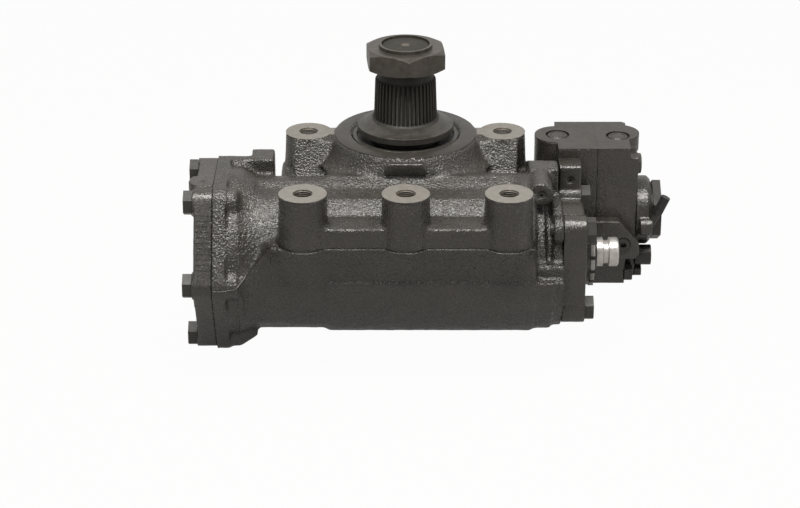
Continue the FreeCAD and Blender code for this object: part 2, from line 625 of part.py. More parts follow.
def end_cover():
    """Hexagonal cover over the left end of the barrel, hollow inside, with raised bolt seats."""
    body = new_part("end_cover", PISTON_AXIS)
    extrude(body, "plate", "yz", (f"-({COVER_FACE})", "0", "0"), hexagon("cover_lobe"), "cover_thick")
    corner = solid(body, "AdditiveCylinder", "corner", (f"-({COVER_SEAT})",) + FIRST_BOLT, "x",
                   Radius="cover_lobe", Height="cover_seat_height + cover_thick")
    ring_of(body, "corners", corner, "X", "6")
    revolve(body, "spigot", "x", ORIGIN, [
        ("-cover_joint - 2", "0"),
        ("-cover_joint - 2", "bore_radius - running_gap"),
        ("-cover_joint + cover_spigot_length", "bore_radius - running_gap"),
        ("-cover_joint + cover_spigot_length", "0"),
    ])
    solid(body, "AdditiveCylinder", "stop_boss", (f"-({COVER_FACE}) - 0.5", "0", "-stop_screw_drop"), "x",
          Radius="stop_screw_corner + 4", Height="cover_thick - 2")
    solid(body, "AdditiveCylinder", "post",
          ("-cover_post_x", "axis_offset - cover_post_front", "axis_drop - cover_post_drop - 30"),
          Radius="cover_post_radius", Height="30")
    solid(body, "SubtractiveCylinder", "post_notch",
          (f"-({COVER_SEAT}) - 12", "-cover_bolt_circle * sin(30)", "cover_bolt_circle * cos(30)"), "x",
          Radius="bolt_head_corner + 0.5", Height="12")
    revolve(body, "hollow", "x", ORIGIN, [
        ("-cover_joint - cover_hollow_depth", "0"),
        ("-cover_joint - cover_hollow_depth", "bore_radius - cover_spigot_wall - 4"),
        ("-cover_joint + cover_spigot_length", "bore_radius - cover_spigot_wall"),
        ("-cover_joint + cover_spigot_length", "0"),
    ], cut=True)
    revolve(body, "seal_groove", "x", ORIGIN, [
        ("-cover_joint", "bore_radius - seal_ring_section - running_gap"),
        ("-cover_joint", "bore_radius + 1"),
        ("-cover_joint + seal_ring_width + 0.2", "bore_radius + 1"),
        ("-cover_joint + seal_ring_width + 0.2", "bore_radius - seal_ring_section - running_gap"),
    ], cut=True)
    solid(body, "SubtractiveBox", "joint_face", ("-cover_joint", "-cover_post_radius - 30", "axis_drop - 40"),
          Length="20", Width="60", Height="40")
    solid(body, "SubtractiveCylinder", "stop_hole", (f"-({COVER_FACE}) - 0.5", "0", "-stop_screw_drop"), "x",
          Radius="stop_screw_radius", Height="cover_thick + cover_spigot_length")
    hole = solid(body, "SubtractiveCylinder", "bolt_hole", (f"-({COVER_SEAT})",) + FIRST_BOLT, "x",
                 Radius="bolt_radius + bolt_hole_gap", Height="cover_seat_height + cover_thick")
    ring_of(body, "bolt_holes", hole, "X", "6")
    return body


def end_cover_pieces():
    """Bolts, seal ring and stop screw of the end cover."""
    bolts = new_part("end_cover_bolts", PISTON_AXIS)
    head = solid(bolts, "AdditivePrism", "head", (f"-({COVER_SEAT}) - bolt_head_height",) + FIRST_BOLT, "x",
                 Circumradius="bolt_head_corner", Height="bolt_head_height")
    ring_of(bolts, "heads", head, "X", "6")
    shank = solid(bolts, "AdditiveCylinder", "shank", (f"-({COVER_SEAT}) - 1",) + FIRST_BOLT, "x",
                  Radius="bolt_radius", Height="cover_seat_height + cover_thick + bolt_reach + 1")
    ring_of(bolts, "shanks", shank, "X", "6")

    seal = new_part("end_cover_seal", PISTON_AXIS)
    revolve(seal, "ring", "x", ORIGIN, [
        ("-cover_joint", "bore_radius - seal_ring_section - running_gap"),
        ("-cover_joint", "bore_radius - running_gap"),
        ("-cover_joint + seal_ring_width", "bore_radius - running_gap"),
        ("-cover_joint + seal_ring_width", "bore_radius - seal_ring_section - running_gap"),
    ])

    screw = new_part("stop_screw", PISTON_AXIS)
    face = f"-({COVER_FACE}) - 0.5"
    solid(screw, "AdditivePrism", "head", (f"{face} - stop_screw_head", "0", "-stop_screw_drop"), "x", 30,
          Circumradius="stop_screw_corner", Height="stop_screw_head")
    solid(screw, "AdditiveCylinder", "shank", (face, "0", "-stop_screw_drop"), "x",
          Radius="stop_screw_radius", Height="cover_thick + 2")


# Rack piston, worm and balls

def rack_piston():
    """Piston with a rack milled in its back and the worm's bore from its right end."""
    body = new_part("rack_piston", PISTON_AXIS)
    outer = "bore_radius - running_gap"
    revolve(body, "piston", "x", ORIGIN, [
        ("-piston_left", "0"),
        ("-piston_left", f"{outer} - 2"),
        ("-piston_left + 2", outer),
        ("piston_right - 2", outer),
        ("piston_right", f"{outer} - 2"),
        ("piston_right", "0"),
    ])
    revolve(body, "ring_groove", "x", ORIGIN, [
        ("-piston_left + ring_from_end", "bore_radius - ring_thick - 0.3"),
        ("-piston_left + ring_from_end", "bore_radius + 1"),
        ("-piston_left + ring_from_end + ring_width", "bore_radius + 1"),
        ("-piston_left + ring_from_end + ring_width", "bore_radius - ring_thick - 0.3"),
    ], cut=True)
    pitch_line = f"axis_offset - {PITCH_RADIUS}"
    extrude(body, "rack_flat", "xy", ("0", "0", "-bore_radius"), [
        ("-rack_half_length", f"{pitch_line} + tooth_module"),
        ("rack_half_length", f"{pitch_line} + tooth_module"),
        ("rack_half_length", "bore_radius + 1"),
        ("-rack_half_length", "bore_radius + 1"),
    ], "2 * bore_radius", cut=True)
    quarter = "tooth_module * pi / 4"
    for index, step in enumerate((-1, 0, 1), start=1):
        middle = f"{step} * tooth_module * pi"
        tip_half = f"({quarter} + (tooth_module + 1) * tan(pressure_angle))"
        root_half = f"({quarter} - (tooth_module + tip_clearance) * tan(pressure_angle))"
        extrude(body, f"rack_gap_{index}", "xy", ("0", "0", "-bore_radius"), [
            (f"{middle} - {root_half}", f"{pitch_line} - tooth_module - tip_clearance"),
            (f"{middle} + {root_half}", f"{pitch_line} - tooth_module - tip_clearance"),
            (f"{middle} + {tip_half}", f"{pitch_line} + tooth_module + 1"),
            (f"{middle} - {tip_half}", f"{pitch_line} + tooth_module + 1"),
        ], "2 * bore_radius", cut=True)
    solid(body, "SubtractiveCylinder", "nut_bore", ("piston_right", "0", "0"), "-x",
          Radius="ball_circle_radius + ball_radius + 0.1", Height="nut_bore_depth")

    ring = new_part("piston_ring", PISTON_AXIS)
    revolve(ring, "ring", "x", ORIGIN, [
        ("-piston_left + ring_from_end + 0.1", "bore_radius - ring_thick"),
        ("-piston_left + ring_from_end + 0.1", "bore_radius - 0.03"),
        ("-piston_left + ring_from_end + ring_width - 0.1", "bore_radius - 0.03"),
        ("-piston_left + ring_from_end + ring_width - 0.1", "bore_radius - ring_thick"),
    ])
    return body


def helical_groove():
    """The ball track as a solid to cut from the worm, wound round +X."""
    lead = num("worm_lead")
    centre = num("ball_circle_radius")
    ball = num("ball_radius")
    length = num("thread_end + worm_tip - 8")
    helix = Part.makeHelix(lead, length, centre)
    top = num("worm_radius") + 0.4
    bottom = centre - ball - 0.15
    corners = [(top, -ball - 0.1), (top, ball + 0.1), (bottom, ball * 0.7), (bottom, -ball * 0.7)]
    points = [FreeCAD.Vector(radius, 0, along) for radius, along in corners]
    section = Part.makePolygon(points + points[:1])
    track = Part.Wire(helix).makePipeShell([section], True, True)
    track.rotate(FreeCAD.Vector(), FreeCAD.Vector(0, 1, 0), 90)
    track.translate(FreeCAD.Vector(-num("worm_tip - 4"), 0, 0))
    return track


def worm():
    """Ball worm in one piece with the valve sleeve, hollow for the torsion bar and the input shaft."""
    outline = [
        ("-worm_tip", "0"),
        ("-worm_tip", "worm_radius - 2"),
        ("-worm_tip + 2", "worm_radius"),
        ("thrust_start", "worm_radius"),
        ("thrust_start", "thrust_radius"),
        ("thrust_start + thrust_width", "thrust_radius"),
        ("thrust_start + thrust_width", "sleeve_radius"),
        ("sleeve_end", "sleeve_radius"),
        ("sleeve_end", "input_radius - 0.5 + running_gap"),
        ("sleeve_floor", "input_radius - 0.5 + running_gap"),
        ("sleeve_floor", "torsion_head_radius"),
        ("torsion_bar_start", "torsion_head_radius"),
        ("torsion_bar_start", "0"),
    ]
    points = [FreeCAD.Vector(num(along), num(radius), 0) for along, radius in outline]
    face = Part.Face(Part.makePolygon(points + points[:1]))
    blank = face.revolve(FreeCAD.Vector(), FreeCAD.Vector(1, 0, 0), 360)
    return computed_part("worm_and_sleeve", blank.cut(helical_groove()).removeSplitter(), PISTON_AXIS)


def ball():
    """A ball with few flat faces: a cube's, an octahedron's and a dodecahedron's, all at one radius."""
    reach = 0.9 * num("ball_radius")
    shape = Part.makeBox(2 * reach, 2 * reach, 2 * reach, FreeCAD.Vector(-reach, -reach, -reach))
    for normal in ((1, 1, 0), (1, 0, 1), (0, 1, 1), (1, -1, 0), (1, 0, -1), (0, 1, -1)):
        slab = Part.makeBox(8 * reach, 8 * reach, 2 * reach, FreeCAD.Vector(-4 * reach, -4 * reach, -reach))
        slab.Placement = FreeCAD.Placement(
            FreeCAD.Vector(), FreeCAD.Rotation(FreeCAD.Vector(0, 0, 1), FreeCAD.Vector(*normal))
        ).multiply(slab.Placement)
        shape = shape.common(slab)
    return shape


def ball_set():
    """The balls between worm and piston, on the worm's own helix."""
    one = ball()
    per_turn = int(num("balls_per_turn"))
    total = per_turn * int(num("ball_turns"))
    lead = num("worm_lead")
    start_turns = (num("ball_start") + num("worm_tip - 4")) / lead
    balls = []
    for index in range(total):
        turns = start_turns + index / per_turn
        copy = one.copy()
        copy.translate(FreeCAD.Vector(0, 0, -num("ball_circle_radius")))
        copy.rotate(FreeCAD.Vector(), FreeCAD.Vector(1, 0, 0), 360 * turns)
        copy.translate(FreeCAD.Vector(lead * turns - num("worm_tip - 4"), 0, 0))
        balls.append(copy)
    return computed_part("recirculating_balls", Part.makeCompound(balls), PISTON_AXIS)


def input_shaft():
    """Torsion bar, input shaft with its clamp groove, and their seals."""
    bar = new_part("torsion_bar", PISTON_AXIS)
    revolve(bar, "bar", "x", ORIGIN, [
        ("torsion_bar_start", "0"),
        ("torsion_bar_start", "torsion_head_radius"),
        ("torsion_bar_start + torsion_head_length", "torsion_head_radius"),
        ("torsion_bar_start + torsion_head_length", "torsion_bar_radius"),
        ("torsion_bar_end - torsion_head_length", "torsion_bar_radius"),
        ("torsion_bar_end - torsion_head_length", "torsion_head_radius - 0.4"),
        ("torsion_bar_end", "torsion_head_radius - 0.4"),
        ("torsion_bar_end", "0"),
    ])
    shaft = new_part("input_shaft", PISTON_AXIS)
    revolve(shaft, "shaft", "x", ORIGIN, [
        ("sleeve_floor + 1", "torsion_head_radius"),
        ("sleeve_floor + 1", "input_radius - 0.5"),
        ("sleeve_end + 0.5", "input_radius - 0.5"),
        ("sleeve_end + 0.5", "input_radius"),
        ("clamp_groove_start", "input_radius"),
        ("clamp_groove_start + 1", "input_radius - clamp_groove_depth"),
        ("clamp_groove_start + clamp_groove_width - 1", "input_radius - clamp_groove_depth"),
        ("clamp_groove_start + clamp_groove_width", "input_radius"),
        ("input_end - input_chamfer", "input_radius"),
        ("input_end", "input_radius - input_chamfer"),
        ("input_end", "0"),
        ("torsion_bar_end + 0.1", "0"),
        ("torsion_bar_end + 0.1", "torsion_head_radius"),
    ])


# Valve housing

def valve_housing():
    """Housing of the rotary valve, with the pillar that carries the auxiliary valve."""
    body = new_part("valve_housing", PISTON_AXIS)
    revolve(body, "core", "x", ORIGIN, [
        ("valve_joint - spigot_length", "0"),
        ("valve_joint - spigot_length", "spigot_radius - running_gap"),
        ("valve_joint", "spigot_radius - running_gap"),
        ("valve_joint", "valve_radius"),
        ("valve_end - 2", "valve_radius"),
        ("valve_end", "valve_radius - 2"),
        ("valve_end", "nose_radius"),
        ("nose_end - 2", "nose_radius"),
        ("nose_end", "nose_radius - 2"),
        ("nose_end", "0"),
    ])
    first_bolt = ("valve_bolt_circle * sin(45)", "valve_bolt_circle * cos(45)")
    corner = solid(body, "AdditiveCylinder", "corner", ("valve_joint",) + first_bolt, "x",
                   Radius="valve_lobe_radius", Height="valve_end - valve_joint")
    ring_of(body, "corners", corner, "X", "4")
    extrude(body, "flat_front", "yz", ("valve_joint", "0", "0"), [
        ("-10", "-valve_bolt_circle * cos(45)"),
        ("-valve_front + axis_offset", "-valve_bolt_circle * cos(45)"),
        ("-valve_front + axis_offset", "valve_bolt_circle * cos(45)"),
        ("-10", "valve_bolt_circle * cos(45)"),
    ], "valve_end - valve_joint")
    extrude(body, "pillar", "yz", ("valve_joint", "0", "0"), [
        ("axis_offset - pillar_front", "10"),
        ("axis_offset - aux_front", "10"),
        ("axis_offset - aux_front", "axis_drop - pillar_drop"),
        ("axis_offset - pillar_front + 2", "axis_drop - pillar_drop"),
        ("axis_offset - pillar_front", "axis_drop - pillar_drop - 2"),
    ], "pillar_end - valve_joint")
    revolve(body, "valve_bore", "x", ORIGIN, [
        ("valve_joint - spigot_length", "0"),
        ("valve_joint - spigot_length", "bearing_radius"),
        ("valve_joint - spigot_length + bearing_width", "bearing_radius"),
        ("valve_joint - spigot_length + bearing_width", "sleeve_radius + sleeve_room"),
        ("sleeve_end + sleeve_room", "sleeve_radius + sleeve_room"),
        ("sleeve_end + sleeve_room", "input_radius + 1"),
        ("nose_end - input_seal_width - 3", "input_radius + 1"),
        ("nose_end - input_seal_width - 3", "input_seal_radius"),
        ("nose_end", "input_seal_radius"),
        ("nose_end", "0"),
    ], cut=True)
    hole = solid(body, "SubtractiveCylinder", "bolt_hole", ("valve_joint",) + first_bolt, "x",
                 Radius="bolt_radius + bolt_hole_gap", Height="valve_end - valve_joint")
    ring_of(body, "bolt_holes", hole, "X", "4")
    solid(body, "SubtractiveCylinder", "test_hole",
          ("valve_joint + 9.5", "axis_offset - pillar_front + test_plug_length", "axis_drop - 27"), "-y",
          Radius="test_plug_radius", Height="test_plug_length")
    return body


def valve_housing_pieces():
    """Bolts, bearing, seal, wiper and test plugs of the valve housing."""
    bolts = new_part("valve_housing_bolts", PISTON_AXIS)
    first_bolt = ("valve_bolt_circle * sin(45)", "valve_bolt_circle * cos(45)")
    head = solid(bolts, "AdditivePrism", "head", ("valve_end",) + first_bolt, "x",
                 Circumradius="bolt_head_corner", Height="bolt_head_height")
    ring_of(bolts, "heads", head, "X", "4")
    shank = solid(bolts, "AdditiveCylinder", "shank", ("groove_end - 2",) + first_bolt, "x",
                  Radius="bolt_radius", Height="valve_end - groove_end + 3")
    ring_of(bolts, "shanks", shank, "X", "4")

    bearing = new_part("input_bearing", PISTON_AXIS)
    revolve(bearing, "ring", "x", ORIGIN, [
        ("valve_joint - spigot_length + 0.1", "sleeve_radius + running_gap"),
        ("valve_joint - spigot_length + 0.1", "bearing_radius"),
        ("valve_joint - spigot_length + bearing_width", "bearing_radius"),
        ("valve_joint - spigot_length + bearing_width", "sleeve_radius + running_gap"),
    ])

    seal = new_part("input_shaft_seal", PISTON_AXIS)
    revolve(seal, "ring", "x", ORIGIN, [
        ("nose_end - input_seal_width - 3", "input_radius + running_gap"),
        ("nose_end - input_seal_width - 3", "input_seal_radius"),
        ("nose_end - 3", "input_seal_radius"),
        ("nose_end - 3", "input_radius + running_gap"),
    ])

    wiper = new_part("input_shaft_wiper", PISTON_AXIS)
    revolve(wiper, "ring", "x", ORIGIN, [
        ("nose_end - 2.6", "input_radius + running_gap"),
        ("nose_end - 2.6", "wiper_radius"),
        ("wiper_end - 1.5", "wiper_radius"),
        ("wiper_end", "wiper_radius - 2"),
        ("wiper_end", "input_radius + running_gap"),
    ])

    plugs = new_part("test_plugs")
    for name, x, y, z in (
        ("neck_plug", "plug_boss_x", "-plug_boss_front", "-plug_boss_drop"),
        ("pillar_plug", "valve_joint + 9.5", "-pillar_front", "-27"),
    ):
        solid(plugs, "AdditiveCylinder", name, (x, f"{y} + test_plug_length", z), "-y",
              Radius="test_plug_radius", Height="test_plug_length - 0.8")
        solid(plugs, "SubtractivePrism", name + "_socket", (x, f"{y} + 4", z), "-y",
              Circumradius="test_plug_radius / 2", Height="4")


# Output shaft

def star(radius, depth, count, height):
    """A closed wire of straight-sided serration teeth at one height."""
    points = []
    for index in range(2 * count):
        angle = math.pi * index / count
        reach = radius if index % 2 == 0 else radius - depth
        points.append(FreeCAD.Vector(reach * math.cos(angle), reach * math.sin(angle), height))
    return Part.makePolygon(points + points[:1])


def involute_flank(pitch_radius, base_radius, tip_radius, half_angle, steps=5):
    """Points of one flank as (radius, angle from the tooth's middle), from base to tip."""
    pressure = math.acos(base_radius / pitch_radius)
    at_pitch = math.tan(pressure) - pressure
    flank = []
    for index in range(steps + 1):
        radius = base_radius + (tip_radius - base_radius) * index / steps
        local = math.acos(min(1.0, base_radius / radius))
        flank.append((radius, half_angle + at_pitch - (math.tan(local) - local)))
    return flank


def sector_tooth(middle):
    """One involute tooth about an angle, as a prism over the sector's height."""
    pitch_radius = num(PITCH_RADIUS)
    base_radius = pitch_radius * math.cos(math.radians(num("pressure_angle")))
    tip_radius = pitch_radius + num("tooth_module")
    play = num("backlash") / 2 / pitch_radius
    half_angle = math.pi / 2 / num("sector_teeth_full_circle") - play
    flank = involute_flank(pitch_radius, base_radius, tip_radius, half_angle)
    root_radius = pitch_radius - num("tooth_module + tip_clearance") - 2
    side = [(root_radius, flank[0][1])] + flank
    corners = [(radius, angle) for radius, angle in side]
    corners += [(radius, -angle) for radius, angle in reversed(side)]
    low = -num("axis_drop + sector_height / 2")
    points = [
        FreeCAD.Vector(radius * math.cos(middle + angle), radius * math.sin(middle + angle), low)
        for radius, angle in corners
    ]
    return Part.Face(Part.makePolygon(points + points[:1])).extrude(FreeCAD.Vector(0, 0, num("sector_height")))


def sector_shaft():
    """Output shaft: threaded end, tapered serration, journals and a three-tooth sector."""
    sector_low = "-axis_drop - sector_height / 2"
    root = f"{PITCH_RADIUS} - tooth_module - tip_clearance"
    outline = [
        ("shaft_top", "0"),
        ("shaft_top", "thread_radius - 1"),
        ("shaft_top - 1", "thread_radius"),
        ("spline_top", "thread_radius"),
        ("spline_top", "spline_top_radius - spline_depth"),
        ("spline_foot", "spline_foot_radius - spline_depth"),
        ("spline_foot", "journal_radius"),
        (f"-({SECTOR_TOP})", "journal_radius"),
        (f"-({SECTOR_TOP})", root),
        (sector_low, root),
        (sector_low, "lower_journal_radius"),
        ("-lower_journal_end", "lower_journal_radius"),
        ("-lower_journal_end", "adjuster_pocket_radius"),
        ("-adjuster_head_top + 1", "adjuster_pocket_radius"),
        ("-adjuster_head_top + 1", "0"),
    ]
    points = [FreeCAD.Vector(num(radius), 0, num(along)) for along, radius in outline]
    shape = Part.Face(Part.makePolygon(points + points[:1])).revolve(
        FreeCAD.Vector(), FreeCAD.Vector(0, 0, 1), 360
    )
    count = int(num("spline_count"))
    serration = Part.makeLoft([
        star(num("spline_foot_radius"), num("spline_depth"), count, num("spline_foot")),
        star(num("spline_top_radius"), num("spline_depth"), count, num("spline_top")),
    ], True, True)
    step = 2 * math.pi / num("sector_teeth_full_circle")
    teeth = [sector_tooth(-math.pi / 2 + step * index) for index in (-1, 0, 1)]
    return computed_part("sector_shaft", shape.fuse([serration] + teeth).removeSplitter())


def output_shaft_pieces():
    """Shaft nut, dust disc, seal and upper bearing of the output shaft."""
    nut = new_part("pitman_nut")
    bore = "thread_radius + running_gap"
    solid(nut, "AdditivePrism", "hexagon", ("0", "0", "nut_bottom"), "z", num("nut_turn"),
          Circumradius="nut_corner", Height="nut_top - nut_bottom")
    revolve(nut, "top_bevel", "z", ORIGIN, [
        ("nut_top + 1", "nut_corner * 0.85 - 1.7"),
        ("nut_top + 1", "nut_corner + 4"),
        ("nut_top - 4.5", "nut_corner + 4"),
        ("nut_top - 3.2", "nut_corner + 1"),
    ], cut=True)
    revolve(nut, "bottom_bevel", "z", ORIGIN, [
        ("nut_bottom - 1", "nut_corner * 0.85 - 1.7"),
        ("nut_bottom - 1", "nut_corner + 4"),
        ("nut_bottom + 4.5", "nut_corner + 4"),
        ("nut_bottom + 3.2", "nut_corner + 1"),
    ], cut=True)
    solid(nut, "AdditiveCylinder", "locking_collar", ("0", "0", "nut_top"),
          Radius="nut_collar_radius", Height="nut_collar_height")
    solid(nut, "SubtractiveCylinder", "thread_bore", ("0", "0", "nut_bottom"),
          Radius=bore, Height="nut_top - nut_bottom + nut_collar_height")

    disc = new_part("dust_disc")
    revolve(disc, "disc", "z", ORIGIN, [
        ("disc_bottom", "journal_radius"),
        ("disc_bottom", "disc_radius"),
        ("disc_bottom + disc_rim", "disc_radius"),
        ("disc_bottom + disc_rim", "disc_radius - 3"),
        ("disc_bottom + disc_rim + disc_rise", "journal_radius + 1.5"),
        ("disc_bottom + disc_rim + disc_rise", "journal_radius"),
    ])

    seal = new_part("output_shaft_seal")
    revolve(seal, "ring", "z", ORIGIN, [
        ("-seal_seat_depth", "journal_radius + running_gap"),
        ("-seal_seat_depth", "seal_seat_radius"),
        ("-seal_seat_depth + output_seal_width", "seal_seat_radius"),
        ("-seal_seat_depth + output_seal_width", "journal_radius + running_gap"),
    ])

    bearing = new_part("upper_needle_bearing")
    revolve(bearing, "ring", "z", ORIGIN, [
        ("-upper_bearing_foot", "journal_radius + running_gap"),
        ("-upper_bearing_foot", "bearing_seat_radius"),
        ("-seal_seat_depth", "bearing_seat_radius"),
        ("-seal_seat_depth", "journal_radius + running_gap"),
    ])


def side_cover():
    """Bottom cover that carries the lower bearing and the adjusting screw, and its pieces."""
    body = new_part("side_cover")
    low = "-base_joint - side_cover_thick"
    revolve(body, "cover", "z", ORIGIN, [
        ("-base_joint + side_spigot_height", "lower_seat_radius"),
        ("-base_joint + side_spigot_height", "sector_room_radius - running_gap"),
        ("-base_joint", "sector_room_radius - running_gap"),
        ("-base_joint", "base_flange_radius"),
        (low, "base_flange_radius"),
        (low, "side_hub_radius + 3"),
        (f"{low} - 3", "side_hub_radius"),
        ("-side_hub_end + 4", "side_hub_radius - 1"),
        ("-side_hub_end", "side_hub_radius - 6"),
        ("-side_hub_end", "adjuster_radius"),
        ("-lower_journal_end - 1", "adjuster_radius"),
        ("-lower_journal_end - 1", "lower_seat_radius"),
    ])
    hole = solid(body, "SubtractiveCylinder", "bolt_hole", ("side_bolt_circle", "0", low),
                 Radius="side_bolt_radius + bolt_hole_gap", Height="side_cover_thick")
    ring_of(body, "bolt_holes", hole, "Z", "side_bolt_count")

    bolts = new_part("side_cover_bolts")
    head = solid(bolts, "AdditivePrism", "head", ("side_bolt_circle", "0", f"{low} - side_bolt_head"),
                 Circumradius="side_bolt_corner", Height="side_bolt_head")
    ring_of(bolts, "heads", head, "Z", "side_bolt_count")
    shank = solid(bolts, "AdditiveCylinder", "shank", ("side_bolt_circle", "0", f"{low} - 1"),
                  Radius="side_bolt_radius", Height="side_cover_thick + side_bolt_reach + 1")
    ring_of(bolts, "shanks", shank, "Z", "side_bolt_count")

    bearing = new_part("lower_needle_bearing")
    revolve(bearing, "ring", "z", ORIGIN, [
        ("-lower_journal_end", "lower_journal_radius + running_gap"),
        ("-lower_journal_end", "lower_seat_radius"),
        ("-base_joint + side_spigot_height - 1", "lower_seat_radius"),
        ("-base_joint + side_spigot_height - 1", "lower_journal_radius + running_gap"),
    ])

    screw = new_part("adjusting_screw")
    solid(screw, "AdditiveCylinder", "shank", ("0", "0", "-adjuster_end"),
          Radius="adjuster_radius", Height="adjuster_end - adjuster_head_top")
    solid(screw, "AdditiveCylinder", "head", ("0", "0", "-adjuster_head_top - adjuster_head_thick"),
          Radius="adjuster_head_radius", Height="adjuster_head_thick")
    solid(screw, "SubtractivePrism", "socket", ("0", "0", "-adjuster_end"),
          Circumradius="adjuster_radius / 2", Height="5")

    locknut = new_part("adjuster_lock_nut")
    solid(locknut, "AdditivePrism", "hexagon", ("0", "0", "-side_hub_end - locknut_height"),
          Circumradius="locknut_corner", Height="locknut_height")
    solid(locknut, "SubtractiveCylinder", "thread", ("0", "0", "-side_hub_end - locknut_height"),
          Radius="adjuster_radius", Height="locknut_height")


# Auxiliary valve on the pillar

def aux_valve():
    """Two valve bodies side by side, their port plugs, covers and bolts."""
    inner = new_part("aux_valve_inner_body")
    extrude(inner, "block", "xy", ("0", "0", "-aux_foot"), [
        ("valve_joint", "-aux_front"),
        ("aux_joint", "-aux_front"),
        ("aux_joint", "aux_back"),
        ("valve_joint", "aux_back"),
    ], "aux_foot - aux_drop")
    solid(inner, "AdditiveCylinder", "tongue", ("left_port_x", "left_port_y", "-tongue_foot"),
          Radius="tongue_radius", Height="tongue_foot - aux_drop")
    port(inner, "left_port")

    outer = new_part("aux_valve_outer_body")
    extrude(outer, "block", "xy", ("0", "0", "-relief_cover_foot"), [
        ("aux_joint", "-aux_front"),
        ("aux_right", "-aux_front"),
        ("aux_right", "aux_back"),
        ("aux_joint", "aux_back"),
    ], "relief_cover_foot - aux_drop - aux_top_thick")
    extrude(outer, "top", "xy", ("0", "0", "-aux_drop - aux_top_thick"), [
        ("aux_joint", "-aux_front"),
        ("aux_top_right", "-aux_front"),
        ("aux_top_right", "aux_back - 3"),
        ("aux_top_right - 3", "aux_back"),
        ("aux_joint", "aux_back"),
    ], "aux_top_thick")
    solid(outer, "AdditiveCylinder", "port_lobe", ("right_port_x + 0.5", "right_port_y + 8", "-aux_drop - 16"),
          Radius="port_lobe_radius", Height="16")
    solid(outer, "AdditiveCylinder", "bolt_lobe", ("aux_joint + 1", "-aux_front + 9", "-aux_drop - 17"), "x",
          Radius="9", Height="aux_right - aux_joint + 2")
    extrude(outer, "foot", "xy", ("0", "0", "-valve_foot_bottom"), [
        ("valve_foot_left", "-aux_front - 6"),
        ("valve_foot_right", "-aux_front - 6"),
        ("valve_foot_right", "aux_back - 8"),
        ("valve_foot_left", "aux_back - 8"),
    ], "valve_foot_bottom - relief_cover_foot")
    extrude(outer, "rear_foot", "xy", ("0", "0", "-valve_foot_bottom + 2"), [
        ("valve_foot_left + 4", "-aux_front + 5.8"),
        ("aux_right + 1", "-aux_front + 5.8"),
        ("aux_right + 1", "aux_back - 20"),
        ("valve_foot_left + 4", "aux_back - 20"),
    ], "valve_foot_bottom - relief_cover_foot - 2")
    port(outer, "right_port")

    plugs = new_part("aux_port_plugs")
    for side in ("left_port", "right_port"):
        solid(plugs, "AdditiveCylinder", side, (side + "_x", side + "_y", "-aux_drop - port_plug_top - port_plug_length"),
              Radius="port_plug_radius", Height="port_plug_length")

    relief = new_part("relief_valve_cover")
    extrude(relief, "plate", "xz", ("0", "-aux_front", "0"), [
        ("relief_cover_left", "-relief_cover_top"),
        ("relief_cover_right - relief_bevel_x", "-relief_cover_top"),
        ("relief_cover_right", "-relief_cover_top - relief_bevel_z"),
        ("relief_cover_right", "-relief_cover_foot + 4"),
        ("relief_cover_right - 4", "-relief_cover_foot"),
        ("relief_cover_left", "-relief_cover_foot"),
    ], "relief_cover_front - aux_front")
    solid(relief, "SubtractiveCylinder", "plug_hole",
          ("relief_plug_x", "-relief_cover_front + 8", "-relief_plug_drop"), "-y",
          Radius="relief_plug_radius", Height="8")

    plug = new_part("relief_plug")
    solid(plug, "AdditiveCylinder", "plug",
          ("relief_plug_x", "-relief_cover_front + 8", "-relief_plug_drop"), "-y",
          Radius="relief_plug_radius", Height="8 + relief_plug_head")
    solid(plug, "SubtractivePrism", "socket",
          ("relief_plug_x", "-relief_cover_front + 3", "-relief_plug_drop"), "-y",
          Circumradius="relief_plug_radius / 2", Height="3 + relief_plug_head")
    spool_end()


def port(body, side):
    """Recess and plug hole of a port in the top of a valve body."""
    solid(body, "SubtractiveCylinder", side + "_recess", (side + "_x", side + "_y", "-aux_drop - port_recess"),
          Radius="port_radius", Height="port_recess")
    solid(body, "SubtractiveCylinder", side + "_hole",
          (side + "_x", side + "_y", "-aux_drop - port_plug_top - port_plug_length"),
          Radius="port_plug_radius", Height="port_plug_length")


NIPPLE_ROOT = ("spool_cap_end - 1.5", "-aux_front - 2.2", "-spool_axis_drop - 3.4")


def nipple_lean():
    """Lean of the bleed nipple to the right."""
    return FreeCAD.Rotation(FreeCAD.Vector(0, 1, 0), num("nipple_turn"))


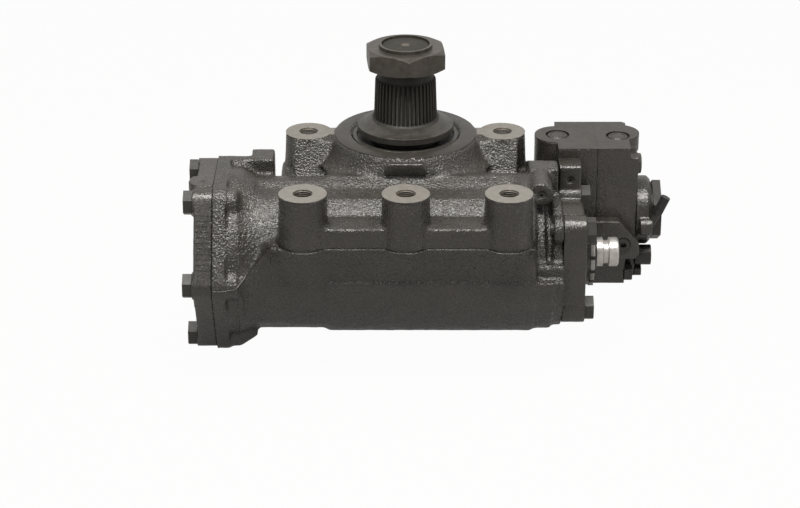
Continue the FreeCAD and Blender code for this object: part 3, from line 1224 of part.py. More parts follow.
def spool_end():
    """Round cap, large hexagon plug, bleed nipple and small fasteners at the right end."""
    spool_line = ("spool_axis_y", "-spool_axis_drop")
    cap = new_part("spool_cap")
    revolve(cap, "cap", "x", ("0",) + spool_line, [
        ("aux_right", "0"),
        ("aux_right", "spool_cap_radius"),
        ("spool_cap_end - spool_cap_bevel", "spool_cap_radius"),
        ("spool_cap_end", "spool_cap_radius - spool_cap_bevel"),
        ("spool_cap_end", "0"),
    ])
    solid(cap, "AdditiveCylinder", "nipple_boss", ("relief_cover_right + 0.5",) + NIPPLE_ROOT[1:], "x",
          Radius="8", Height="spool_cap_end - relief_cover_right - 0.5")
    hole = solid(cap, "SubtractiveCylinder", "nipple_hole", NIPPLE_ROOT,
                 Radius="nipple_radius", Height="nipple_length")
    hole.Placement = FreeCAD.Placement(hole.Placement.Base, nipple_lean())
    bind(hole, "Placement.Rotation.Angle", "nipple_turn")

    plug = new_part("spool_plug")
    solid(plug, "AdditiveCylinder", "neck", ("spool_cap_end",) + spool_line, "x",
          Radius="spool_plug_corner - 6", Height="spool_plug_neck + 1")
    solid(plug, "AdditivePrism", "hexagon", ("spool_cap_end + spool_plug_neck",) + spool_line, "x", 0,
          Circumradius="spool_plug_corner", Height="spool_plug_end - spool_cap_end - spool_plug_neck")

    for name, feature, start, radius, length in (
        ("bleed_nipple", "nipple", "0", "nipple_radius", "nipple_length"),
        ("bleed_dust_cap", "cap", "dust_cap_root", "dust_cap_radius", "dust_cap_length"),
    ):
        piece = new_part(name, NIPPLE_ROOT)
        piece.Placement = FreeCAD.Placement(piece.Placement.Base, nipple_lean())
        bind(piece, "Placement.Rotation.Angle", "nipple_turn")
        solid(piece, "AdditiveCylinder", feature, ("0", "0", start), Radius=radius, Height=length)
        if name == "bleed_dust_cap":
            solid(piece, "SubtractiveCylinder", "bore", ("0", "0", start),
                  Radius="nipple_radius", Height="nipple_length - dust_cap_root")

    suction = new_part("suction_plug")
    solid(suction, "AdditiveCylinder", "plug", ("aux_right + 1", "-aux_front + 10.3", "-spool_axis_drop - 36.2"),
          "x", Radius="suction_plug_radius", Height="suction_plug_end - aux_right - 1")

    foot_bolt = new_part("valve_foot_bolt")
    solid(foot_bolt, "AdditivePrism", "head", ("valve_foot_right", "-aux_front - 2", "-valve_foot_bottom + 9"), "x",
          Circumradius="small_bolt_corner", Height="small_bolt_head")

    drain = new_part("drain_screw")
    solid(drain, "AdditivePrism", "head", ("aux_right + 1", "-aux_front + 10.3", "-valve_foot_bottom + 6"), "x",
          Circumradius="drain_corner", Height="drain_head")


main_housing()
end_cover()
end_cover_pieces()
rack_piston()
worm()
ball_set()
input_shaft()
valve_housing()
valve_housing_pieces()
sector_shaft()
output_shaft_pieces()
side_cover()
aux_valve()
document.recompute()

for item in document.Objects:
    if "Invalid" in item.State or "Error" in item.State:
        raise RuntimeError(f"{item.Name} did not rebuild: {item.State}")
os.makedirs("parts", exist_ok=True)
for item in sub_parts:
    if item.Shape.isNull() or not item.Shape.isValid():
        raise RuntimeError(f"{item.Label} has no valid shape")
    item.Shape.exportStep(f"parts/{item.Label}.step")
    print(f"{item.Label}: {len(item.Shape.Solids)} solids, {item.Shape.Volume:.0f} cubic millimetres")
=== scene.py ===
"""Looks of a heavy hydraulic steering gear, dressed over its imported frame.

The castings get a cast skin with rounded edges, the machined faces stay crisp, and every shaft,
seal and fastener gets its own finish. Metres; X along the piston, Y to the back, Z up the output shaft.
"""

import logging
import math
from dataclasses import dataclass, field
from enum import Enum
from typing import Callable, Sequence

import bmesh
import bpy
import numpy as np
from mathutils import Matrix, Vector, noise
from mathutils.bvhtree import BVHTree


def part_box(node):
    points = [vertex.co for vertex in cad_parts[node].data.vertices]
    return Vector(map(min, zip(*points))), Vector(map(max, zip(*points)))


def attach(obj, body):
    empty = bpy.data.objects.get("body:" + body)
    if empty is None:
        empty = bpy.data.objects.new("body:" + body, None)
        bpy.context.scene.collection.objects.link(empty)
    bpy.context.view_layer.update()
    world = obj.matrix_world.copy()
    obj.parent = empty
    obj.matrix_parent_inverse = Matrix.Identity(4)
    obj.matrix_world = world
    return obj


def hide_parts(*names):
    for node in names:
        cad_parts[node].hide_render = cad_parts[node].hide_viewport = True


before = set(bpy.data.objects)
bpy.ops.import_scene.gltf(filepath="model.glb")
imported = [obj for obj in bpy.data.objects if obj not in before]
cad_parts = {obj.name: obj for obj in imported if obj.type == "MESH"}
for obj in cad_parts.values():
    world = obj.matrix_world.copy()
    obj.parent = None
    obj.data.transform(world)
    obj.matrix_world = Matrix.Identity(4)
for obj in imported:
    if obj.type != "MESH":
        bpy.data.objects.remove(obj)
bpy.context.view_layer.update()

LOG = logging.getLogger("steering_gear")
MM = 0.001
PISTON_Y, PISTON_Z = -70 * MM, -81.5 * MM

# Corners nearer to each other than these are one: in a frame mesh, and in a piece made here
FRAME_MERGE, MERGE = 2e-6, 1e-6
# Edges of a turned piece that are shorter than this are taken out
NO_LENGTH = 1e-7
# A point nearer to a hole's axis than this has no direction away from it
ON_AXIS = 1e-4
# Largest angles, in degrees, that are shaded smooth: on most pieces, turned ones, the shaft's core, the pad
CREASE, TURNED_CREASE, CORE_CREASE, PAD_CREASE = 35.0, 32.0, 30.0, 40.0
# X and Z, in millimetres, of the mould's parting line from the left flange to the first front boss
PARTING_LINE = ((-157, -149, -143, -139, -135, -130, -126, -120, -115, -111, -104),
                (-81, -81, -80.5, -78, -74.8, -68.5, -63.2, -55.5, -49, -45.6, -45.4))

Colour = tuple[float, float, float]
Point = tuple[float, float, float]
Corner = tuple[float, float]
Mask = Callable[[Vector], float]
Socket = bpy.types.NodeSocket
Thing = bpy.types.Object
Work = bmesh.types.BMesh


# Finishes


class Wiring:
    """Adds and joins the nodes of one tree."""

    def __init__(self, tree: bpy.types.NodeTree) -> None:
        """Starts with an empty tree."""
        self.tree = tree
        self.tree.nodes.clear()

    def feed(self, node: bpy.types.Node, sockets: dict[int | str, object]) -> None:
        """Sets inputs of a node or joins them to outputs of others.

        Args:
            node: the node.
            sockets: for each input, by name or place, its value or the output that feeds it.
        """
        for key, value in sockets.items():
            if isinstance(value, Socket):
                self.tree.links.new(value, node.inputs[key])
            else:
                node.inputs[key].default_value = value

    def add(self, kind: str, sockets: dict[int | str, object] | None = None,
            **settings: object) -> bpy.types.Node:
        """Adds a node.

        Args:
            kind: Blender's name of the node type.
            sockets: what its inputs get, as in feed.
            settings: its properties.

        Returns:
            The new node.
        """
        node = self.tree.nodes.new(kind)
        for key, value in settings.items():
            setattr(node, key, value)
        self.feed(node, sockets or {})
        return node


class Graph(Wiring):
    """The nodes of one material, with its patterns on Object coordinates."""

    # Places of the two colours and of the result among the sockets of a colour mix
    FIRST, LAST, RESULT = 6, 7, 2

    def __init__(self, name: str) -> None:
        """Starts a material with a Principled shader.

        Args:
            name: name of the material.
        """
        self.material = bpy.data.materials.new(name)
        self.material.use_nodes = True
        super().__init__(self.material.node_tree)
        self.shader = self.add("ShaderNodeBsdfPrincipled")
        self.output = self.add("ShaderNodeOutputMaterial", {0: self.shader.outputs[0]})
        self.place = self.add("ShaderNodeTexCoord").outputs["Object"]

    def noise(self, size: float, detail: float = 2.0, rough: float = 0.5,
              stretch: Point = (1.0, 1.0, 1.0), warp: float = 0.0) -> Socket:
        """Adds a noise pattern.

        Args:
            size: size of a feature in metres.
            detail: octaves of the noise.
            rough: roughness of the noise.
            stretch: scale of the pattern along each axis.
            warp: distortion of the noise.

        Returns:
            The socket of the noise value.
        """
        place = self.place
        if stretch != (1.0, 1.0, 1.0):
            place = self.add("ShaderNodeMapping", {"Vector": place, "Scale": stretch}).outputs[0]
        return self.add("ShaderNodeTexNoise", {"Vector": place, "Scale": 1 / size, "Detail": detail,
                                               "Roughness": rough, "Distortion": warp}).outputs[0]

    def ramp(self, value: Socket, low: float, high: float, first: float = 0.0, last: float = 1.0) -> Socket:
        """Maps a value from one range to another, clamped.

        Args:
            value: the value to map.
            low: start of the input range.
            high: end of the input range.
            first: result at the start.
            last: result at the end.

        Returns:
            The mapped value.
        """
        return self.add("ShaderNodeMapRange", {"Value": value, "From Min": low, "From Max": high,
                                               "To Min": first, "To Max": last}).outputs[0]

    def mix(self, factor: Socket, first: Colour | Socket, last: Colour) -> Socket:
        """Mixes two colours.

        Args:
            factor: share of the second colour.
            first: the first colour or its socket.
            last: the second colour.

        Returns:
            The mixed colour.
        """
        start = first if isinstance(first, Socket) else (*first, 1.0)
        sockets = {0: factor, self.FIRST: start, self.LAST: (*last, 1.0)}
        return self.add("ShaderNodeMix", sockets, data_type="RGBA").outputs[self.RESULT]

    def bump(self, *layers: tuple[Socket, float]) -> None:
        """Chains bump layers into the shader's normal.

        Args:
            layers: height socket and depth in metres of each layer.
        """
        normal: dict[str, Socket] = {}
        for height, depth in layers:
            sockets = {"Strength": 1.0, "Distance": depth, "Height": height, **normal}
            normal = {"Normal": self.add("ShaderNodeBump", sockets).outputs[0]}
        self.feed(self.shader, normal)

    def dress(self, tone: Socket, rough: Socket, **values: float) -> None:
        """Gives the shader its colour, roughness and plain numbers; an underscore stands for a space."""
        numbers = {key.replace("_", " "): value for key, value in values.items()}
        self.feed(self.shader, {"Base Color": tone, "Roughness": rough, **numbers})


@dataclass(frozen=True)
class CastPaint:
    """Satin paint over a rough iron casting."""

    name: str = "cast_paint"
    dark: Colour = (0.023, 0.0203, 0.0165)
    light: Colour = (0.034, 0.0303, 0.0252)
    worn: Colour = (0.056, 0.050, 0.043)
    shade_size: float = 24 * MM
    speck_size: float = 1.3 * MM
    patch_size: float = 9 * MM
    grain: float = 1.5 * MM
    grain_depth: float = 1.05 * MM
    fine_depth: float = 0.12 * MM
    smooth: float = 0.20
    rough: float = 0.32
    specular: float = 0.8

    def material(self) -> bpy.types.Material:
        """Builds the material.

        Returns:
            The material.
        """
        graph = Graph(self.name)
        tone = graph.mix(graph.ramp(graph.noise(self.shade_size, 4, 0.6), 0.35, 0.65), self.dark, self.light)
        specks = graph.ramp(graph.noise(self.speck_size, 2, 0.5), 0.62, 0.72, 0, 0.55)
        patches = graph.ramp(graph.noise(self.patch_size, 3, 0.55), 0.35, 0.65, self.smooth, self.rough)
        graph.dress(graph.mix(specks, tone, self.worn), patches, Specular_IOR_Level=self.specular)
        graph.bump((graph.noise(self.grain, 1.2, 0.45, warp=0.3), self.grain_depth),
                   (graph.noise(self.grain * 0.35, 1, 0.5), self.fine_depth))
        return graph.material


@dataclass(frozen=True)
class SmoothPaint:
    """The same paint over a machined or forged surface."""

    name: str = "smooth_paint"
    dark: Colour = (0.025, 0.0222, 0.0184)
    light: Colour = (0.034, 0.0303, 0.0256)
    rough: float = 0.36
    rough_spread: float = 0.06
    depth: float = 0.05 * MM

    def material(self) -> bpy.types.Material:
        """Builds the material.

        Returns:
            The material.
        """
        graph = Graph(self.name)
        tone = graph.mix(graph.ramp(graph.noise(14 * MM, 4, 0.6), 0.35, 0.65), self.dark, self.light)
        graph.dress(tone, graph.ramp(graph.noise(5 * MM, 3, 0.55), 0.3, 0.7,
                                     self.rough - self.rough_spread, self.rough + self.rough_spread))
        graph.bump((graph.noise(2.4 * MM, 3, 0.55), self.depth),
                   (graph.noise(0.7 * MM, 2, 0.5), self.depth * 0.4))
        return graph.material


@dataclass(frozen=True)
class Steel:
    """Bare or treated steel with fine marks along one direction."""

    name: str
    dark: Colour
    light: Colour
    rough: float
    metallic: float = 1.0
    stretch: Point = (1.0, 1.0, 1.0)
    depth: float = 0.02 * MM
    mark: float = 0.8 * MM
    rough_spread: float = 0.07

    def material(self) -> bpy.types.Material:
        """Builds the material.

        Returns:
            The material.
        """
        graph = Graph(self.name)
        tone = graph.mix(graph.ramp(graph.noise(6 * MM, 4, 0.6), 0.36, 0.66), self.dark, self.light)
        rough = graph.ramp(graph.noise(3 * MM, 3, 0.5), 0.3, 0.7,
                           self.rough - self.rough_spread, self.rough + self.rough_spread)
        graph.dress(tone, rough, Metallic=self.metallic)
        graph.bump((graph.noise(self.mark, 3, 0.5, self.stretch), self.depth))
        return graph.material


@dataclass(frozen=True)
class Rubber:
    """Dull black rubber or plastic."""

    name: str = "rubber"
    dark: Colour = (0.012, 0.012, 0.012)
    light: Colour = (0.024, 0.023, 0.022)
    rough: float = 0.5
    depth: float = 0.02 * MM

    def material(self) -> bpy.types.Material:
        """Builds the material.

        Returns:
            The material.
        """
        graph = Graph(self.name)
        dust = graph.ramp(graph.noise(4 * MM, 4, 0.6), 0.4, 0.7)
        graph.dress(graph.mix(dust, self.dark, self.light),
                    graph.ramp(dust, 0, 1, self.rough - 0.08, self.rough + 0.1))
        graph.bump((graph.noise(0.6 * MM, 2, 0.5), self.depth))
        return graph.material


class Finish(Enum):
    """Every finish of the object, with its own settings."""

    CAST = CastPaint()
    CAST_FINE = CastPaint("cast_paint_fine", grain=1.3 * MM, grain_depth=0.42 * MM, fine_depth=0.06 * MM)
    PAINT = SmoothPaint()
    BOLT = SmoothPaint("bolt_paint", (0.026, 0.0245, 0.022), (0.038, 0.036, 0.032), 0.40)
    MILLED = Steel("milled_iron", (0.19, 0.179, 0.16), (0.232, 0.219, 0.197), 0.55, 0.35,
                   stretch=(0.25, 1.0, 1.0), depth=0.03 * MM)
    HOLE = Steel("hole_iron", (0.080, 0.070, 0.056), (0.125, 0.110, 0.092), 0.55, 0.4)
    NUT = Steel("nut_steel", (0.066, 0.059, 0.050), (0.100, 0.091, 0.079), 0.34, 0.6)
    SPLINE = Steel("spline_steel", (0.013, 0.0115, 0.008), (0.021, 0.0185, 0.013), 0.62, 0.0,
                   stretch=(1.0, 1.0, 0.15))
    DISC = Steel("disc_steel", (0.045, 0.042, 0.037), (0.066, 0.062, 0.055), 0.34, 0.4)
    BRIGHT = Steel("bright_steel", (0.50, 0.485, 0.46), (0.62, 0.60, 0.575), 0.34, 0.75,
                   stretch=(0.15, 1.0, 1.0), depth=0.004 * MM)
    RUBBER = Rubber()
    RING = Steel("ring_steel", (0.26, 0.25, 0.235), (0.40, 0.385, 0.37), 0.42, 0.6)
    PLUG = Rubber("plug_black", (0.020, 0.019, 0.018), (0.034, 0.032, 0.029), 0.42)


class Palette:
    """Makes each material once and hands it out."""

    def __init__(self) -> None:
        """Starts with no materials."""
        self.made: dict[str, bpy.types.Material] = {}

    def get(self, finish: Finish) -> bpy.types.Material:
        """Gives the material of a finish.

        Args:
            finish: the finish.

        Returns:
            Its material.
        """
        if finish.name not in self.made:
            self.made[finish.name] = finish.value.material()
        return self.made[finish.name]

    def coat(self, thing: Thing, finish: Finish) -> None:
        """Puts a finish on a whole object."""
        thing.data.materials.clear()
        thing.data.materials.append(self.get(finish))


PALETTE = Palette()


# Mesh work


def mm(*corners: Corner) -> list[Corner]:
    """Turns the corners of an outline from millimetres into metres."""
    return [(first * MM, second * MM) for first, second in corners]


def at(x: float, y: float, z: float) -> Matrix:
    """Gives the shift to a point."""
    return Matrix.Translation((x, y, z))


def along_x(x: float) -> Matrix:
    """Gives the turn that lays local Z along +X at a point of the piston's axis."""
    return at(x, PISTON_Y, PISTON_Z) @ Matrix.Rotation(math.radians(90), 4, "Y")


def share_of(*shares: np.ndarray) -> np.ndarray:
    """Gives the smallest of some shares, held between 0 and 1."""
    return np.clip(np.minimum.reduce(shares), 0, 1)


def smooth_step(value: np.ndarray) -> np.ndarray:
    """Eases a share between 0 and 1."""
    share = np.clip(value, 0, 1)
    return share * share * (3 - 2 * share)


def new_object(name: str, data: bpy.types.ID) -> Thing:
    """Makes an object and links it to the scene.

    Args:
        name: name of the object.
        data: its mesh, curve, lamp or camera.

    Returns:
        The new object.
    """
    thing = bpy.data.objects.new(name, data)
    bpy.context.scene.collection.objects.link(thing)
    return thing


def from_bmesh(name: str, work: Work) -> Thing:
    """Turns a bmesh into a smooth shaded object.

    Args:
        name: name of the piece.
        work: the bmesh, which is freed.

    Returns:
        The new object.
    """
    for face in work.faces:
        face.smooth = True
    mesh = bpy.data.meshes.new(name)
    work.to_mesh(mesh)
    work.free()
    return new_object(name, mesh)


def merged_copy(node: str) -> Work:
    """Copies a frame node's mesh and joins its loose triangles.

    Args:
        node: name of the node.

    Returns:
        The copy.
    """
    work = bmesh.new()
    work.from_mesh(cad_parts[node].data)
    bmesh.ops.remove_doubles(work, verts=work.verts, dist=FRAME_MERGE)
    return work


def evaluated_mesh(thing: Thing) -> bpy.types.Mesh:
    """Gives the mesh that an object's modifiers or curve make."""
    return bpy.data.meshes.new_from_object(thing.evaluated_get(bpy.context.evaluated_depsgraph_get()))


def bake(thing: Thing) -> Thing:
    """Applies all modifiers of an object through its evaluated mesh.

    Args:
        thing: the object.

    Returns:
        The same object.
    """
    result = evaluated_mesh(thing)
    thing.modifiers.clear()
    old = thing.data
    thing.data = result
    bpy.data.meshes.remove(old)
    return thing


def edge_shade(thing: Thing, degrees: float = CREASE) -> Thing:
    """Shades an object smooth, except across edges sharper than an angle.

    Args:
        thing: the object.
        degrees: the angle.

    Returns:
        The same object.
    """
    thing.data.shade_smooth()
    thing.data.set_sharp_from_angle(angle=math.radians(degrees))
    return thing


def bevel(thing: Thing, width: float, segments: int = 2) -> Thing:
    """Bevels the sharp edges of a piece.

    Args:
        thing: the piece.
        width: width of the bevel.
        segments: faces across it.

    Returns:
        The same piece.
    """
    change = thing.modifiers.new("edge", "BEVEL")
    change.width = width
    change.segments = segments
    change.limit_method = "ANGLE"
    return bake(thing)


def vertex_arrays(mesh: bpy.types.Mesh) -> tuple[np.ndarray, np.ndarray]:
    """Reads all vertices at once.

    Args:
        mesh: the mesh.

    Returns:
        Their places and their normals.
    """
    points = np.empty(len(mesh.vertices) * 3, dtype=np.float32)
    normals = np.empty(len(mesh.vertices) * 3, dtype=np.float32)
    mesh.vertices.foreach_get("co", points)
    mesh.vertices.foreach_get("normal", normals)
    return points.reshape(-1, 3), normals.reshape(-1, 3)


def place_vertices(mesh: bpy.types.Mesh, points: np.ndarray) -> None:
    """Puts all vertices in their new places at once."""
    mesh.vertices.foreach_set("co", points.ravel())
    mesh.update()


def push_out(point: np.ndarray, centre: Corner, radius: float) -> None:
    """Moves a point straight away from a vertical axis.

    Args:
        point: the point, changed in place.
        centre: X and Y of the axis.
        radius: the point's new distance from it.
    """
    across = [float(point[axis]) - centre[axis] for axis in (0, 1)]
    grow = radius / math.hypot(*across)
    for axis in (0, 1):
        point[axis] = centre[axis] + across[axis] * grow


@dataclass
class CastSkin:
    """Rounds the edges of a casting and gives it the waviness of a sand mould."""

    voxel: float
    passes: int
    keep: Mask
    wave: float = 0.22 * MM
    wave_size: float = 9 * MM
    ripple_share: float = 0.5
    ripple_scale: float = 2.3

    def apply(self, name: str, work: Work,
              carve: Callable[[np.ndarray], None] | None = None) -> Thing:
        """Makes the cast piece.

        Args:
            name: name of the piece.
            work: closed mesh of the casting.
            carve: changes the places of the vertices before they are softened.

        Returns:
            The finished object.
        """
        thing = from_bmesh(name, work)
        remesh = thing.modifiers.new("voxels", "REMESH")
        remesh.mode = "VOXEL"
        remesh.voxel_size = self.voxel
        bake(thing)
        if carve is not None:
            points, _ = vertex_arrays(thing.data)
            carve(points)
            place_vertices(thing.data, points)
        group = thing.vertex_groups.new(name="soft")
        weights = [self.keep(vertex.co) for vertex in thing.data.vertices]
        group.add([index for index, weight in enumerate(weights) if weight > 0], 1.0, "REPLACE")
        soften = thing.modifiers.new("soften", "SMOOTH")
        soften.factor = 0.5
        soften.iterations = self.passes
        soften.vertex_group = "soft"
        bake(thing)
        thing.vertex_groups.clear()
        points, normals = vertex_arrays(thing.data)
        for index, weight in enumerate(weights):
            if weight > 0:
                here = Vector(points[index]) / self.wave_size
                height = noise.noise(here) + self.ripple_share * noise.noise(here * self.ripple_scale) - 1
                points[index] += normals[index] * (height * self.wave * weight)
        place_vertices(thing.data, points)
        thing.data.shade_smooth()
        return thing


def top_plate(name: str, node: str, level: float, depth: float) -> Thing:
    """Takes the level faces of a node at a height as a thin crisp plate.

    Args:
        name: name of the piece.
        node: frame node that holds the faces.
        level: height of the faces.
        depth: thickness of the plate.

    Returns:
        The plate.
    """
    band, upright, straight, edge = 0.02 * MM, 0.99, 0.01, 0.18 * MM
    work = merged_copy(node)
    work.normal_update()
    away = [face for face in work.faces
            if abs(face.calc_center_median().z - level) > band or face.normal.z < upright]
    bmesh.ops.delete(work, geom=away, context="FACES")
    bmesh.ops.dissolve_limit(work, angle_limit=straight, verts=work.verts, edges=work.edges)
    low = bmesh.ops.extrude_face_region(work, geom=list(work.faces))
    moved = [item for item in low["geom"] if isinstance(item, bmesh.types.BMVert)]
    bmesh.ops.translate(work, verts=moved, vec=(0, 0, -depth))
    bmesh.ops.recalc_face_normals(work, faces=work.faces)
    thing = bevel(from_bmesh(name, work), edge)
    thing.data.shade_flat()
    return thing


def spin_outline(work: Work, outline: Sequence[Corner], steps: int, closed: bool) -> None:
    """Turns an outline about the Z axis into faces of a bmesh.

    Args:
        work: the bmesh.
        outline: radius and height of each corner, in metres.
        steps: facets round the axis.
        closed: whether the outline joins its two ends.
    """
    points = [work.verts.new((r, 0, z)) for r, z in outline]
    edges = [work.edges.new(pair) for pair in zip(points, points[1:])]
    if closed:
        edges.append(work.edges.new((points[-1], points[0])))
    bmesh.ops.spin(work, geom=points + edges, cent=(0, 0, 0), axis=(0, 0, 1), angle=math.tau, steps=steps)


def lathe(name: str, outline: Sequence[Corner], turn: Matrix = Matrix(), steps: int = 64,
          closed: bool = False) -> Thing:
    """Turns an outline about the local Z axis.

    Args:
        name: name of the piece.
        outline: radius and height of each corner, in metres.
        turn: place of the piece in the frame.
        steps: facets round the axis.
        closed: whether the outline joins its two ends, as on a ring.

    Returns:
        The turned object.
    """
    work = bmesh.new()
    spin_outline(work, outline, steps, closed)
    bmesh.ops.remove_doubles(work, verts=work.verts, dist=MERGE)
    bmesh.ops.dissolve_degenerate(work, edges=work.edges, dist=NO_LENGTH)
    bmesh.ops.recalc_face_normals(work, faces=work.faces)
    bmesh.ops.transform(work, matrix=turn, verts=work.verts)
    return edge_shade(from_bmesh(name, work), TURNED_CREASE)


def prism(work: Work, *outlines: Sequence[Point]) -> None:
    """Adds the solid between two outlines to a bmesh.

    Args:
        work: the bmesh.
        outlines: the corners of its two ends, in millimetres, as many on each.
    """
    first, last = ([work.verts.new([value * MM for value in corner]) for corner in outline]
                   for outline in outlines)
    faces = [work.faces.new(first), work.faces.new(last)]
    for index in range(len(first)):
        after = (index + 1) % len(first)
        faces.append(work.faces.new((first[index], first[after], last[after], last[index])))
    bmesh.ops.recalc_face_normals(work, faces=faces)


def bead(name: str, path: Sequence[Vector], radius: float) -> Thing:
    """Lays a thin round bead along a path.

    Args:
        name: name of the piece.
        path: points of the middle line.
        radius: radius of the bead.

    Returns:
        The bead as a mesh object.
    """
    curve = bpy.data.curves.new(name, "CURVE")
    curve.dimensions = "3D"
    curve.bevel_depth = radius
    curve.bevel_resolution = 1
    curve.use_fill_caps = True
    line = curve.splines.new("POLY")
    line.points.add(len(path) - 1)
    for point, place in zip(line.points, path):
        point.co = (*place, 1)
    holder = new_object(name + "_line", curve)
    mesh = evaluated_mesh(holder)
    bpy.data.objects.remove(holder)
    mesh.shade_smooth()
    return new_object(name, mesh)


# Geometry node trees


class Pattern(Enum):
    """How a repeated item is laid out."""

    RING = "ring"
    ROW = "row"


@dataclass
class Repeat:
    """Geometry node tree that repeats a small box in a ring about Z or in a row."""

    name: str
    pattern: Pattern
    count: int
    size: Point
    material: bpy.types.Material
    radius: float = 0.0
    step: Point = (0.0, 0.0, 0.0)
    start: Point = (0.0, 0.0, 0.0)
    levels: int = 2

    def tree(self) -> bpy.types.NodeTree:
        """Builds the node tree with named inputs.

        Returns:
            The tree.
        """
        group = bpy.data.node_groups.new(self.name, "GeometryNodeTree")
        for label, way, kind in (("Geometry", "INPUT", "Geometry"), ("Count", "INPUT", "Int"),
                                 ("Radius", "INPUT", "Float"), ("Step", "INPUT", "Vector"),
                                 ("Start", "INPUT", "Vector"), ("Item Size", "INPUT", "Vector"),
                                 ("Levels", "INPUT", "Int"), ("Finish", "INPUT", "Material"),
                                 ("Geometry", "OUTPUT", "Geometry")):
            group.interface.new_socket(name=label, in_out=way, socket_type=f"NodeSocket{kind}")
        wiring = Wiring(group)
        given = wiring.add("NodeGroupInput").outputs
        item = wiring.add("GeometryNodeMeshCube",
                          {"Size": given["Item Size"], "Vertices Z": given["Levels"]})
        turn = {}
        if self.pattern is Pattern.RING:
            points = wiring.add("GeometryNodeMeshCircle",
                                {"Vertices": given["Count"], "Radius": given["Radius"]})
            where = wiring.add("GeometryNodeInputPosition")
            aim = wiring.add("FunctionNodeAlignRotationToVector", {"Vector": where.outputs[0]},
                             axis="X", pivot_axis="Z")
            turn = {"Rotation": aim.outputs[0]}
        else:
            points = wiring.add("GeometryNodeMeshLine", {"Count": given["Count"], "Offset": given["Step"],
                                                         "Start Location": given["Start"]})
        spread = wiring.add("GeometryNodeInstanceOnPoints",
                            {"Points": points.outputs[0], "Instance": item.outputs["Mesh"], **turn})
        real = wiring.add("GeometryNodeRealizeInstances", {0: spread.outputs[0]})
        dress = wiring.add("GeometryNodeSetMaterial",
                           {"Geometry": real.outputs[0], "Material": given["Finish"]})
        wiring.add("NodeGroupOutput", {0: dress.outputs[0]})
        return group

    def build(self, place: Matrix) -> Thing:
        """Runs the tree and gives a plain mesh in its place.

        Args:
            place: turn and place in the frame.

        Returns:
            The finished object.
        """
        thing = new_object(self.name, bpy.data.meshes.new(self.name))
        group = self.tree()
        change = thing.modifiers.new("repeat", "NODES")
        change.node_group = group
        values = {"Count": self.count, "Radius": self.radius, "Step": self.step, "Start": self.start,
                  "Item Size": self.size, "Levels": self.levels, "Finish": self.material}
        for socket in group.interface.items_tree:
            if socket.in_out == "INPUT" and socket.name in values:
                change[socket.identifier] = values[socket.name]
        bake(thing)
        thing.data.transform(place)
        return thing


def settle(thing: Thing, finish: Finish | None, body: str = "housing", slot: str = "cast_body",
           *nodes: str) -> Thing:
    """Finishes a piece: its material, body and the nodes that it stands for.

    Args:
        thing: the piece.
        finish: its finish, or None where its tree has set it.
        body: the body that it rides on.
        slot: not used.
        nodes: frame nodes that it replaces.

    Returns:
        The piece.
    """
    if finish is not None:
        PALETTE.coat(thing, finish)
    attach(thing, body)
    if nodes:
        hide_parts(*nodes)
    LOG.info("%s: %d faces on %s", thing.name, len(thing.data.polygons), body)
    return thing


# Sub-assemblies


